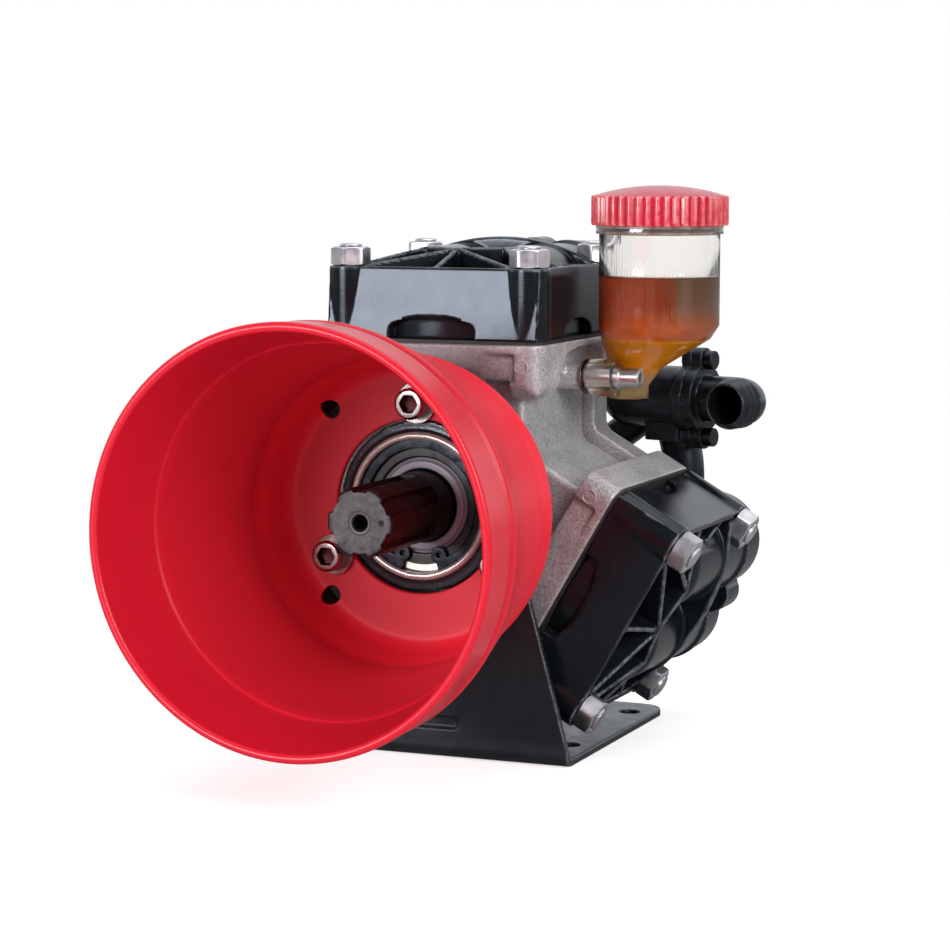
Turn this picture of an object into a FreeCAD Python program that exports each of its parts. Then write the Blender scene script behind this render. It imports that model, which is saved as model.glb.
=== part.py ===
import FreeCAD, Part
import math
import os
from FreeCAD import Vector

# Three-diaphragm piston pump for a tractor shaft. Millimetres, Z up, the input shaft points to -Y.
# The pump is built round its shaft axis and lifted to its shaft height when it is written out.
# A head is built upright, as the top one stands, and turned about the shaft axis to its place.

# Foot
SHAFT_HEIGHT = 127.0
FOOT_THICKNESS = 4.0
FOOT_HALF_WIDTH = 79.0
FOOT_REAR_Y = 84.0
FOOT_CORNER_R = 14.0
FOOT_BEND_R = 6.0
FOOT_NECK_HALF_WIDTH = 57.0
FOOT_NECK_Z = -40.0
FOOT_TOP_Z = -6.0
FOOT_HOLE_R = 5.5
FOOT_HOLE_X = 66.0
FOOT_HOLE_Y = (-35.0, 59.0)
DIMPLE_X = 7.9
DIMPLE_Z = -108.4
DIMPLE_HALF_LENGTH = 12.8
DIMPLE_HALF_HEIGHT = 3.7
DIMPLE_DEPTH = 1.2

# Heads and their studs
HEAD_ANGLES = (90.0, -30.0, 210.0)
STUD_SPACING = 97.0
STUD_R = 6.0
STUD_HOLE_PLAY = 0.25
STUD_PROUD = 1.8
STUD_CHAMFER = 1.0
STUD_DEPTH = 14.0
NUT_AF = 18.0
NUT_HEIGHT = 9.5
NUT_TURN = 30.0
NUT_CHAMFER_ANGLE = 30.0

# Crankcase casting
NECK_HALF_WIDTH = 46.0
CASE_FRONT_Y = -49.0
CASE_REAR_Y = 38.0
CROTCH_R = 8.0
NECK_EDGE_R = 3.0
JOINT_CHAMFER = 0.7
FLANGE_BASE_R = 62.5
FLANGE_THICKNESS = 18.0
FLANGE_PLATE = 4.0
FLANGE_SIDE_RECESS = 8.0
STUD_BOSS_R = 10.8
PAD_LENGTH = 27.0
PAD_DROP = 9.5
PAD_ROUND = 9.0
POCKET_START = 27.0
POCKET_END = 44.5
POCKET_TOP_R = 75.8
POCKET_DEPTH = 2.8
RECESS_STEP_R = 67.0
RECESS_RAMP_R = 74.5
RECESS_RAMP = 12.0
RECESS_RUN_OUT = 26.0

# Diaphragm
DIAPHRAGM_THICKNESS = 1.5
DIAPHRAGM_INSET = 0.6

# Head casting
HEAD_HEIGHT = 36.0
HEAD_SIDE_INSET = 2.3
HEAD_DRAFT = 3.4
HEAD_WALL = 4.0
HEAD_FLOOR = 16.0
RIB_THICKNESS = 2.6
RIB_RISE = 9.0
WEB_NODE_Y = -24.0
BARREL_R = 25.0
BARREL_SPACING = 44.0
BARREL_AXIS_R = 102.0
BARREL_FRONT_Y = -14.0
BARREL_ROUND = 12.0
BARREL_REAR_Y = 81.0
BARREL_RIM_R = 26.5
BARREL_RIM_WIDTH = 4.5
BARREL_SEAM = 0.5
ARCH_Y = 37.0
ARCH_THICKNESS = 5.0
ARCH_HALF_WIDTH = 52.5
ARCH_RISE = 13.0
MOON_WIDTH = 45.5
MOON_HEIGHT = 11.5
MOON_STRAIGHT = 7.0
MOON_DEPTH = 7.0
MOON_BELLY_R = 54.0
SIDE_MOON_WIDTH = 38.0
SIDE_MOON_HEIGHT = 9.3
SIDE_MOON_STRAIGHT = 4.5
SIDE_MOON_DEPTH = 4.0
MOON_CORNER_R = 3.5

# Rear valve covers
COVER_LENGTH = 25.0
COVER_PROUD = 0.7
COVER_ROUND = 7.0
COVER_BOSS_R = 10.5
COVER_BOSS_LIFT = 17.0
COVER_BOSS_LENGTH = 21.0

# Front bearing, seal and ring
BEARING_FACE_Y = -75.8
BEARING_BOSS_R = 43.0
BEARING_SHOULDER = 2.8
BEARING_LAND_R = 37.0
BEARING_BORE_R = 33.5
SEAL_RECESS = 3.2
SEAL_WIDTH = 10.0
SEAL_CASE_BAND = 9.0
SEAL_LIP_BAND = 5.6
SEAL_LIP_RISE = 1.2
SEAL_DISH = 1.8
RING_THICKNESS = 2.5
RING_GROOVE_DEPTH = 1.4
RING_BAND = 4.6
RING_GAP_ANGLE = 34.0
RING_LUG_R = 4.2
RING_LUG_TURN = 5.0
RING_LUG_OVERLAP = 1.6
RING_EYE_R = 1.25
RUNNING_PLAY = 0.05

# Drive shaft
SHAFT_END_Y = -145.7
SHAFT_REAR_Y = 30.0
SHAFT_END_ROOM = 1.0
SHAFT_R = 17.5
SPLINE_R = 17.4
SPLINE_ROOT_R = 14.8
SPLINE_WIDTH = 8.6
SPLINE_LENGTH = 58.0
SPLINE_COUNT = 6
SHAFT_CHAMFER = 1.5
CENTRE_HOLE_R = 3.4
CENTRE_HOLE_DEPTH = 12.0
CENTRE_CHAMFER = 1.4

# Guard and its screws
GUARD_MOUTH_Y = -228.7
GUARD_MOUTH_R = 100.0
GUARD_BASE_R = 79.5
GUARD_BASE_LENGTH = 38.0
GUARD_BACK_R = 67.0
GUARD_BASE_ROUND = 57.6
GUARD_WALL = 3.2
GUARD_BASE_THICKNESS = 3.8
GUARD_LIP = 4.6
GUARD_BAND_LENGTH = 25.2
GUARD_BAND_DRAFT = 0.9
GUARD_GROOVE_WIDTH = 5.6
GUARD_GROOVE_DEPTH = 2.9
GUARD_RIDGE_WIDTH = 2.9
GUARD_LEDGE_Y = -185.0
GUARD_LEDGE = 1.0
GUARD_HOLE_PLAY = 0.8
GUARD_VENT_R = 4.75
GUARD_VENT_PITCH = 47.0
GUARD_VENT_REACH = 14.0
GUARD_SCREW_CIRCLE_R = 52.0
GUARD_SCREW_ANGLES = (90.0, 210.0, 330.0)
GUARD_SCREW_R = 5.0
GUARD_SCREW_HEAD_R = 8.0
GUARD_SCREW_HEAD = 10.0
GUARD_SCREW_CHAMFER = 1.0
GUARD_SCREW_SOCKET_AF = 8.0
GUARD_SCREW_SOCKET_DEPTH = 5.0
GUARD_SCREW_GRIP = 18.0
GUARD_SCREW_PLAY = 0.5
GUARD_SCREW_BOSS_R = 11.5
WASHER_R = 10.5
WASHER_THICKNESS = 2.0

# Rear cover
GASKET_THICKNESS = 0.8
GASKET_INSET = 0.6
REAR_COVER_HALF_WIDTH = 52.0
REAR_COVER_THICKNESS = 22.0
REAR_COVER_PLAY = 0.3
REAR_COVER_EDGE_R = 3.0
REAR_BOSS_R = 30.0
REAR_BOSS_HEIGHT = 2.6
REAR_SCREW_T = 38.0
REAR_SCREW_AT_R = 46.0
REAR_SCREW_R = 3.0
REAR_SCREW_HEAD_AF = 10.0
REAR_SCREW_HEAD = 4.0
REAR_SCREW_GRIP = 12.0

# Suction manifold at the back, between the top and the right head
GAP_R = 84.0
SUCTION_Y = 94.0
SUCTION_TUBE_R = 11.0
SUCTION_ARM_R = 9.0
SUCTION_ANGLE = 30.0
SUCTION_SPREAD = 44.0
INLET_TURN = 12.0
INLET_BODY_R = 16.5
INLET_BODY_LENGTH = 40.0
INLET_BOSS_LENGTH = 20.0
INLET_BOSS_HALF_WIDTH = 10.0
INLET_BOSS_DROP = 23.0
INLET_FLANGE_THICKNESS = 6.0
INLET_FLANGE_R = 18.0
INLET_LUG_OFFSET = 20.5
INLET_LUG_R = 6.5
INLET_SCREW_R = 3.0
INLET_SCREW_HEAD_R = 5.0
INLET_SCREW_HEAD = 5.0

# Suction elbow
ELBOW_MOUTH = (122.7, 40.0, 45.5)
ELBOW_BARB_LENGTH = 31.0
ELBOW_NECK_LENGTH = 34.0
ELBOW_BEND_R = 15.0
ELBOW_R = 12.2
ELBOW_BORE_R = 10.0
ELBOW_BARBS = 3
ELBOW_BARB_RISE = 1.1
ELBOW_FLANGE_THICKNESS = 6.0

# Delivery manifold at the back, between the top and the left head
DELIVERY_Y = 72.0
DELIVERY_TUBE_R = 8.0
DELIVERY_ARM_R = 7.0
DELIVERY_ANGLE = 150.0
OUTLET_BODY_R = 12.0
OUTLET_NUT_AF = 22.0
OUTLET_END_R = 128.0
OUTLET_R = 9.5
OUTLET_BORE_R = 6.0
OUTLET_BARB_RISE = 1.0
OUTLET_BARBS = 3
OUTLET_COLLAR = 10.0
SEAT_PLAY = 0.1

# Oil jar on the right side of the top neck
JAR_X = 95.4
JAR_Y = 14.0
JAR_R = 30.8
JAR_WALL = 2.0
JAR_TOP_Z = 140.0
JAR_WAIST_Z = 88.0
JAR_BOWL_Z = 80.9
JAR_BOWL_SHRINK = 2.9
JAR_BOWL_SHIFT = -1.6
JAR_THROAT_Z = 65.2
JAR_THROAT_R = 13.4
JAR_FOOT_TOP_Z = 56.0
JAR_FOOT_Z = 49.5
JAR_FOOT_R = 10.0
JAR_FOOT_LEFT_X = 68.2
JAR_FOOT_SHIFT_Y = 5.0
JAR_NECK_RISE = 1.6
JAR_NECK_HEIGHT = 4.0
OIL_LEVEL_Z = 112.5
OIL_PLAY = 0.1
CAP_R = 35.0
CAP_RIB_Z = 138.4
CAP_RIB_HEIGHT = 15.4
CAP_DOME = 4.8
CAP_WALL = 2.2
CAP_RIBS = 44
CAP_RIB_DEPTH = 1.3
OIL_PORT_Y = 0.0
OIL_PORT_Z = 61.5
OIL_PORT_R = 6.8
OIL_TUBE_R = 9.0
OIL_PORT_FACE_X = 59.6
BANJO_R = 4.0
BANJO_COLLAR_R = 6.2
BANJO_COLLAR = 3.6
BANJO_HEAD_R = 5.1
BANJO_HEAD = 10.2
BANJO_SEAT_X = 76.8
BANJO_SOCKET_AF = 5.0
BANJO_SOCKET_DEPTH = 4.0
BANJO_GRIP = 14.0
PORT_WASHER_R = 8.2
PORT_WASHER_THICKNESS = 1.5

# Drain plug under the crankcase
DRAIN_R = 8.0
DRAIN_AF = 19.0
DRAIN_HEAD = 7.0
DRAIN_DEPTH = 8.0
DRAIN_Y = 20.0
DRAIN_BOSS_R = 13.0
DRAIN_BOSS_Z = -64.0

# Sizes that follow from those above
STUD_AT = STUD_SPACING / 2
FLANGE_HALF = STUD_AT + STUD_BOSS_R
FLANGE_TOP_R = FLANGE_BASE_R + FLANGE_THICKNESS
HEAD_BASE_R = FLANGE_TOP_R + DIAPHRAGM_THICKNESS
HEAD_TOP_R = HEAD_BASE_R + HEAD_HEIGHT
HEAD_FLOOR_R = HEAD_BASE_R + HEAD_FLOOR
HEAD_SIDE_HALF = FLANGE_HALF - HEAD_SIDE_INSET
BARREL_AT = BARREL_SPACING / 2
COVER_R = BARREL_R + COVER_PROUD
GUARD_BACK_Y = BEARING_FACE_Y + GUARD_BASE_THICKNESS
GUARD_HOLE_R = BEARING_BOSS_R + GUARD_HOLE_PLAY
FOOT_FRONT_BACK_Y = GUARD_BACK_Y + FOOT_THICKNESS
FOOT_BOTTOM_Z = -SHAFT_HEIGHT
SEAL_FRONT_Y = BEARING_FACE_Y + SEAL_RECESS + RING_THICKNESS
REAR_FRONT_Y = CASE_REAR_Y + GASKET_THICKNESS
REAR_BACK_Y = REAR_FRONT_Y + REAR_COVER_THICKNESS
REAR_REACH = FLANGE_BASE_R - REAR_COVER_PLAY
JAR_FOOT_X = JAR_FOOT_LEFT_X + JAR_FOOT_R

# How far a cut runs past a face, how deep fused pieces share room, and when two places count as one
PAST = 1.0
SHARED = 1.0
NEAR = 0.01

AXIS_X = Vector(1, 0, 0)
AXIS_Y = Vector(0, 1, 0)
AXIS_Z = Vector(0, 0, 1)
ORIGIN = Vector(0, 0, 0)


def block(x0, x1, y0, y1, z0, z1):
    return Part.makeBox(x1 - x0, y1 - y0, z1 - z0, Vector(x0, y0, z0))


def rod(radius, start, end):
    """Round bar between two points."""
    start = Vector(*start)
    along = Vector(*end) - start
    return Part.makeCylinder(radius, along.Length, start, along)


def rod_y(radius, y0, y1, x=0.0, z=0.0):
    return rod(radius, (x, y0, z), (x, y1, z))


def rod_z(radius, x, y, z0, z1):
    return rod(radius, (x, y, z0), (x, y, z1))


def polar(radius, degrees, y=0.0):
    angle = math.radians(degrees)
    return Vector(radius * math.cos(angle), y, radius * math.sin(angle))


def line(p, q):
    return Part.LineSegment(Vector(*p), Vector(*q)).toShape()


def arc(p, q, r):
    """Arc through three points."""
    return Part.Arc(Vector(*p), Vector(*q), Vector(*r)).toShape()


def face_of(edges):
    return Part.Face(Part.Wire(edges))


def closed_face(points):
    points = [Vector(*p) for p in points]
    return Part.Face(Part.makePolygon(points + points[:1]))


def turned(profile, axis=AXIS_Y, centre=ORIGIN):
    """Solid of revolution from a closed list of points."""
    return closed_face(profile).revolve(centre, axis, 360)


def fused(shapes):
    whole = shapes[0].multiFuse(shapes[1:]) if len(shapes) > 1 else shapes[0]
    return whole.removeSplitter()


def cut_by(shape, tools):
    return shape.cut(Part.makeCompound(tools))


def picked(shape, wanted):
    """Edges of a shape whose bounding box passes the test."""
    return [e for e in shape.Edges if wanted(e.BoundBox)]


def at_y(y):
    """Test for an edge that lies in one plane across the shaft."""
    return lambda box: abs(box.YMin - y) < NEAR and abs(box.YMax - y) < NEAR


def at_z(z):
    """Test for an edge that lies in one level plane."""
    return lambda box: abs(box.ZMin - z) < NEAR and abs(box.ZMax - z) < NEAR


def to_head(shape, degrees):
    """Turn an upright shape about the shaft axis to a head's place."""
    turned_shape = shape.copy()
    turned_shape.rotate(ORIGIN, AXIS_Y, 90.0 - degrees)
    return turned_shape


def mirrored_x(shape):
    return shape.mirror(ORIGIN, AXIS_X)


def hex_prism(across_flats, start, end, turn=0.0):
    start = Vector(*start)
    along = Vector(*end) - start
    corner_r = across_flats / math.sqrt(3)
    ring = []
    for i in range(6):
        angle = math.radians(60 * i + turn)
        ring.append((corner_r * math.cos(angle), corner_r * math.sin(angle), 0))
    prism = closed_face(ring).extrude(Vector(0, 0, along.Length))
    prism.Placement = FreeCAD.Placement(start, FreeCAD.Rotation(AXIS_Z, along))
    return prism


def nut(across_flats, x, y, z0, z1):
    """Hexagon nut with both ends chamfered round."""
    flat_r = across_flats / 2
    spread = across_flats / math.sqrt(3) - flat_r
    wide = flat_r + 2 * spread
    drop = 2 * spread * math.tan(math.radians(NUT_CHAMFER_ANGLE))
    drum = turned([(0, 0, z0), (flat_r, 0, z0), (wide, 0, z0 + drop), (wide, 0, z1 - drop), (flat_r, 0, z1),
                   (0, 0, z1)], AXIS_Z)
    drum.translate(Vector(x, y, 0))
    return hex_prism(across_flats, (x, y, z0), (x, y, z1), NUT_TURN).common(drum)


def rounded_plate(half_x, half_y, corner_r, z0, z1):
    plate = block(-half_x, half_x, -half_y, half_y, z0, z1)
    return plate.makeFillet(corner_r, picked(plate, lambda box: box.ZLength > z1 - z0 - NEAR))


def star_prism(half_width, reach, crotch_r, y0, y1):
    """Prism of three arms, one towards each head, with rounded inner corners."""
    meet = half_width / math.sin(math.radians(60))
    run = crotch_r * math.tan(math.radians(30))
    valley = meet + crotch_r / math.cos(math.radians(30)) - crotch_r
    edges = []
    for arm in sorted(HEAD_ANGLES):
        following = arm + 120
        side = polar(half_width, arm + 90)
        end = polar(reach, arm, y0)
        crotch = polar(meet, arm + 60, y0)
        leave = crotch + polar(run, arm)
        enter = crotch + polar(run, following)
        next_corner = polar(reach, following, y0) - polar(half_width, following + 90)
        edges.append(line(end - side, end + side))
        edges.append(line(end + side, leave))
        edges.append(arc(leave, polar(valley, arm + 60, y0), enter))
        edges.append(line(enter, next_corner))
    return face_of(edges).extrude(Vector(0, y1 - y0, 0))


def stud_places():
    return [(sx * STUD_AT, sy * STUD_AT) for sx in (-1, 1) for sy in (-1, 1)]


def guard_screw_places():
    return [polar(GUARD_SCREW_CIRCLE_R, a) for a in GUARD_SCREW_ANGLES]


def stud_pad():
    """Boss under the front right corner of a flange, rounded below, grown out of the neck."""
    x0 = NECK_HALF_WIDTH - NECK_EDGE_R - SHARED
    y0 = -FLANGE_HALF
    low = FLANGE_BASE_R - PAD_DROP
    whole = block(x0, FLANGE_HALF, y0, y0 + PAD_LENGTH, low, FLANGE_TOP_R)
    corner = picked(whole, lambda b: b.ZLength > NEAR and b.XMin > FLANGE_HALF - NEAR and b.YMax < y0 + NEAR)
    ends = picked(whole, lambda b: b.XLength > NEAR and b.ZMax < low + NEAR)
    side = picked(whole, lambda b: b.YLength > NEAR and b.ZMax < low + NEAR and b.XMin > FLANGE_HALF - NEAR)
    plan = whole.makeFillet(STUD_BOSS_R, corner)
    return plan.common(whole.makeFillet(PAD_ROUND, ends)).common(whole.makeFillet(PAD_ROUND, side))


def flange_pocket():
    """Pocket in the flange's front face, right of its middle, that deepens towards the corner."""
    face_y = -FLANGE_HALF
    low = FLANGE_BASE_R - PAST
    plan = closed_face([
        (POCKET_START, face_y - PAST, low),
        (POCKET_START, face_y, low),
        (POCKET_END, face_y + POCKET_DEPTH, low),
        (POCKET_END, face_y - PAST, low),
    ])
    return plan.extrude(Vector(0, 0, POCKET_TOP_R - low))


def side_recess():
    """Cut under the flange's right edge, behind the front pad, with a ramp at its front end."""
    x = FLANGE_HALF - FLANGE_SIDE_RECESS
    start = -FLANGE_HALF + PAD_LENGTH
    top = FLANGE_TOP_R - FLANGE_PLATE
    low = FLANGE_BASE_R - PAST
    profile = closed_face([
        (x, start, low),
        (x, start, RECESS_STEP_R),
        (x, start + RECESS_RAMP, RECESS_RAMP_R),
        (x, start + RECESS_RUN_OUT, top),
        (x, -start, top),
        (x, -start, low),
    ])
    return profile.extrude(Vector(FLANGE_SIDE_RECESS + PAST, 0, 0))


def crankcase_flange():
    """Square head flange with a pad under its front right corner, cut back behind the pad."""
    flange = rounded_plate(FLANGE_HALF, FLANGE_HALF, STUD_BOSS_R, FLANGE_BASE_R, FLANGE_TOP_R)
    pocket = flange_pocket()
    whole = fused([cut_by(flange, [side_recess()]), stud_pad()])
    return cut_by(whole, [pocket, mirrored_x(pocket)])


def crankcase():
    reach = FLANGE_BASE_R + NECK_EDGE_R + SHARED
    star = star_prism(NECK_HALF_WIDTH, reach, CROTCH_R, CASE_FRONT_Y, CASE_REAR_Y)
    star = star.makeFillet(NECK_EDGE_R, picked(star, at_y(CASE_FRONT_Y)))
    star = star.makeChamfer(JOINT_CHAMFER, picked(star, at_y(CASE_REAR_Y)))
    flange = crankcase_flange()
    parts = [star] + [to_head(flange, a) for a in HEAD_ANGLES]
    parts.append(rod_y(BEARING_BOSS_R, BEARING_FACE_Y + BEARING_SHOULDER, 0))
    parts.append(rod_y(BEARING_LAND_R, BEARING_FACE_Y, 0))
    for place, degrees in zip(guard_screw_places(), GUARD_SCREW_ANGLES):
        front = GUARD_BACK_Y if degrees == 90.0 else FOOT_FRONT_BACK_Y
        parts.append(rod_y(GUARD_SCREW_BOSS_R, front, CASE_FRONT_Y + SHARED, place.x, place.z))
    parts.append(port_line(OIL_PORT_R, NECK_HALF_WIDTH - SHARED, OIL_PORT_FACE_X))
    parts.append(rod_z(DRAIN_BOSS_R, 0, DRAIN_Y, DRAIN_BOSS_Z, 0))
    body = fused(parts)

    bores = [rod_y(BEARING_BORE_R, BEARING_FACE_Y - PAST, SEAL_FRONT_Y + SEAL_WIDTH)]
    groove_y = BEARING_FACE_Y + SEAL_RECESS
    bores.append(rod_y(BEARING_BORE_R + RING_GROOVE_DEPTH, groove_y, groove_y + RING_THICKNESS))
    bores.append(rod_y(SHAFT_R + RUNNING_PLAY, BEARING_FACE_Y, SHAFT_REAR_Y + SHAFT_END_ROOM))
    for place in guard_screw_places():
        deep = GUARD_BACK_Y + GUARD_SCREW_GRIP
        bores.append(rod_y(GUARD_SCREW_R, GUARD_BACK_Y - PAST, deep, place.x, place.z))
    for place in rear_screw_places():
        bores.append(rod_y(REAR_SCREW_R, CASE_REAR_Y - REAR_SCREW_GRIP, CASE_REAR_Y + PAST, place.x, place.z))
    for degrees in HEAD_ANGLES:
        for x, y in stud_places():
            hole = rod_z(STUD_R, x, y, FLANGE_TOP_R - STUD_DEPTH, FLANGE_TOP_R + PAST)
            bores.append(to_head(hole, degrees))
    bores.append(port_line(BANJO_R, OIL_PORT_FACE_X - BANJO_GRIP, OIL_PORT_FACE_X + PAST))
    bores.append(rod_z(DRAIN_R, 0, DRAIN_Y, DRAIN_BOSS_Z - PAST, DRAIN_BOSS_Z + DRAIN_DEPTH))
    return cut_by(body, bores)


def drain_plug():
    shank = rod_z(DRAIN_R, 0, DRAIN_Y, DRAIN_BOSS_Z, DRAIN_BOSS_Z + DRAIN_DEPTH)
    return fused([shank, nut(DRAIN_AF, 0, DRAIN_Y, DRAIN_BOSS_Z - DRAIN_HEAD, DRAIN_BOSS_Z)])


def diaphragm():
    half = FLANGE_HALF - DIAPHRAGM_INSET
    sheet = rounded_plate(half, half, STUD_BOSS_R, FLANGE_TOP_R, HEAD_BASE_R)
    hole_r = STUD_R + STUD_HOLE_PLAY
    return cut_by(sheet, [rod_z(hole_r, x, y, FLANGE_TOP_R, HEAD_BASE_R) for x, y in stud_places()])


def drafted_block(half_x, low_y, high_y, z0, z1):
    """Block whose front and rear faces lean in towards the top."""
    x = -half_x
    profile = closed_face([(x, -low_y, z0), (x, low_y, z0), (x, high_y, z1), (x, -high_y, z1)])
    return profile.extrude(Vector(2 * half_x, 0, 0))


def rib(start, start_z, end, end_z, low):
    """Upright rib between two points of the plan, with a sloping top edge."""
    a = Vector(start[0], start[1], 0)
    b = Vector(end[0], end[1], 0)
    along = b - a
    side = Vector(-along.y, along.x, 0).normalize() * (RIB_THICKNESS / 2)
    face = closed_face([
        a - side + Vector(0, 0, low),
        b - side + Vector(0, 0, low),
        b - side + Vector(0, 0, end_z),
        a - side + Vector(0, 0, start_z),
    ])
    return face.extrude(side * 2)


def barrel(x):
    """Valve barrel lying along Y, with a rounded nose and a rim where its cover meets it."""
    slope = math.sqrt(0.5)
    nose_r = BARREL_R - BARREL_ROUND
    shoulder = BARREL_FRONT_Y + BARREL_ROUND
    bulge = (nose_r + BARREL_ROUND * slope, shoulder - BARREL_ROUND * slope, 0)
    body = face_of([
        line((0, BARREL_FRONT_Y, 0), (nose_r, BARREL_FRONT_Y, 0)),
        arc((nose_r, BARREL_FRONT_Y, 0), bulge, (BARREL_R, shoulder, 0)),
        line((BARREL_R, shoulder, 0), (BARREL_R, BARREL_REAR_Y, 0)),
        line((BARREL_R, BARREL_REAR_Y, 0), (0, BARREL_REAR_Y, 0)),
        line((0, BARREL_REAR_Y, 0), (0, BARREL_FRONT_Y, 0)),
    ]).revolve(ORIGIN, AXIS_Y, 360)
    body.translate(Vector(x, 0, BARREL_AXIS_R))
    rim_end = BARREL_REAR_Y - BARREL_SEAM
    return fused([body, rod_y(BARREL_RIM_R, rim_end - BARREL_RIM_WIDTH, rim_end, x, BARREL_AXIS_R)])


def arch_bridge():
    """Curved ridge that crosses both barrels near the back of the head."""
    radius = (ARCH_HALF_WIDTH ** 2 + ARCH_RISE ** 2) / (2 * ARCH_RISE)
    top = HEAD_TOP_R + ARCH_RISE
    back = ARCH_Y + ARCH_THICKNESS
    wheel = rod_y(radius, ARCH_Y, back, 0, top - radius)
    return wheel.common(block(-ARCH_HALF_WIDTH, ARCH_HALF_WIDTH, ARCH_Y, back, HEAD_FLOOR_R, top + PAST))


def moon_recess(width, height, straight, front, deep):
    """Pocket at the foot of the head's front, with upright ends and an arched top."""
    half = width / 2
    rise = height - straight
    radius = (half ** 2 + rise ** 2) / (2 * rise)
    top = HEAD_BASE_R + height
    disc = rod_y(radius, front, deep, 0, top - radius)
    pocket = disc.common(block(-half, half, front, deep, HEAD_BASE_R - PAST, top))
    corners = picked(pocket, lambda b: b.XLength < NEAR and b.ZLength < NEAR and b.ZMin > HEAD_BASE_R)
    return pocket.makeFillet(MOON_CORNER_R, corners)


def front_moon():
    """Front pocket with a back wall that bulges forward in the middle."""
    deep = -FLANGE_HALF + MOON_DEPTH
    pocket = moon_recess(MOON_WIDTH, MOON_HEIGHT, MOON_STRAIGHT, -FLANGE_HALF - PAST, deep)
    half = MOON_WIDTH / 2
    bulge = MOON_BELLY_R - math.sqrt(MOON_BELLY_R ** 2 - half ** 2)
    belly = rod_z(MOON_BELLY_R, 0, deep - bulge + MOON_BELLY_R, HEAD_BASE_R - PAST, HEAD_TOP_R)
    return pocket.cut(belly)


def head():
    low_y = FLANGE_HALF
    high_y = FLANGE_HALF - HEAD_DRAFT
    shell = drafted_block(HEAD_SIDE_HALF, low_y, high_y, HEAD_BASE_R, HEAD_TOP_R)
    room_x = HEAD_SIDE_HALF - HEAD_WALL
    room_y = high_y - HEAD_WALL
    parts = [shell.cut(drafted_block(room_x, room_y, room_y, HEAD_FLOOR_R, HEAD_TOP_R + PAST))]
    for x, y in stud_places():
        parts.append(rod_z(STUD_BOSS_R, x, y, HEAD_BASE_R, HEAD_TOP_R))
    floor = HEAD_FLOOR_R - SHARED
    crest = HEAD_TOP_R + RIB_RISE
    edge_x = HEAD_SIDE_HALF - HEAD_WALL / 2
    edge_y = high_y - HEAD_WALL / 2
    node = (0, WEB_NODE_Y)
    for foot_x in (-STUD_AT + STUD_BOSS_R / 2, 0, STUD_AT - STUD_BOSS_R / 2):
        parts.append(rib((foot_x, -edge_y), HEAD_TOP_R, node, crest, floor))
    for side in (-1, 1):
        nose = (side * BARREL_AT, BARREL_FRONT_Y + SHARED)
        parts.append(rib(node, crest, nose, crest, floor))
        parts.append(rib((side * STUD_AT, -STUD_AT), HEAD_TOP_R, nose, crest, floor))
        parts.append(rib((side * edge_x, -edge_x / 3), HEAD_TOP_R, nose, crest, floor))
        parts.append(rib((side * edge_x, edge_x / 3), HEAD_TOP_R, (side * BARREL_AT, 0), HEAD_TOP_R, floor))
        parts.append(barrel(side * BARREL_AT))
    parts.append(arch_bridge())
    body = fused(parts)

    wide = HEAD_SIDE_HALF + STUD_BOSS_R
    cuts = [block(-wide, wide, -low_y - PAST, low_y + SEAT_PLAY, FLANGE_BASE_R, HEAD_BASE_R)]
    for x, y in stud_places():
        cuts.append(rod_z(STUD_R + STUD_HOLE_PLAY, x, y, HEAD_BASE_R - PAST, HEAD_TOP_R + PAST))
        cuts.append(rod_z(STUD_BOSS_R, x, y, HEAD_TOP_R, crest + PAST))
    cuts.append(front_moon())
    side_deep = -HEAD_SIDE_HALF + SIDE_MOON_DEPTH
    side_moon = moon_recess(SIDE_MOON_WIDTH, SIDE_MOON_HEIGHT, SIDE_MOON_STRAIGHT, -FLANGE_HALF - PAST,
                            side_deep)
    for turn in (90, 270):
        pocket = side_moon.copy()
        pocket.rotate(ORIGIN, AXIS_Z, turn)
        cuts.append(pocket)
    return cut_by(body, cuts)


def head_studs():
    """Four studs, each with its nut, as separate solids."""
    solids = []
    top = HEAD_TOP_R + NUT_HEIGHT + STUD_PROUD
    for x, y in stud_places():
        stud = rod_z(STUD_R, x, y, FLANGE_TOP_R - STUD_DEPTH, top)
        stud = stud.makeChamfer(STUD_CHAMFER, picked(stud, at_z(top)))
        solids.append(fused([stud, nut(NUT_AF, x, y, HEAD_TOP_R, HEAD_TOP_R + NUT_HEIGHT)]))
    return Part.makeCompound(solids)


def cover_form(extra=0.0):
    """Twin round ends that close the two valve barrels of a head."""
    front = BARREL_REAR_Y - extra
    rear = BARREL_REAR_Y + COVER_LENGTH + extra
    parts = []
    for side in (-1, 1):
        straight = rod_y(COVER_R + extra, front, rear, side * BARREL_AT, BARREL_AXIS_R)
        parts.append(straight.makeFillet(COVER_ROUND, picked(straight, at_y(rear))))
    boss_z = BARREL_AXIS_R + COVER_BOSS_LIFT
    parts.append(rod_y(COVER_BOSS_R + extra, front, BARREL_REAR_Y + COVER_BOSS_LENGTH, 0, boss_z))
    return fused(parts)


def barrel_room():
    """Space that a head's barrels and their rims take up, with a little play."""
    rim_front = BARREL_REAR_Y - BARREL_SEAM - BARREL_RIM_WIDTH
    parts = []
    for side in (-1, 1):
        x = side * BARREL_AT
        parts.append(rod_y(BARREL_R + SEAT_PLAY, ARCH_Y, BARREL_REAR_Y, x, BARREL_AXIS_R))
        parts.append(rod_y(BARREL_RIM_R + SEAT_PLAY, rim_front - SEAT_PLAY, BARREL_REAR_Y, x, BARREL_AXIS_R))
    return fused(parts)


def ring_solid(outer, inner, y0, y1):
    return rod_y(outer, y0, y1).cut(rod_y(inner, y0 - PAST, y1 + PAST))


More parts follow.
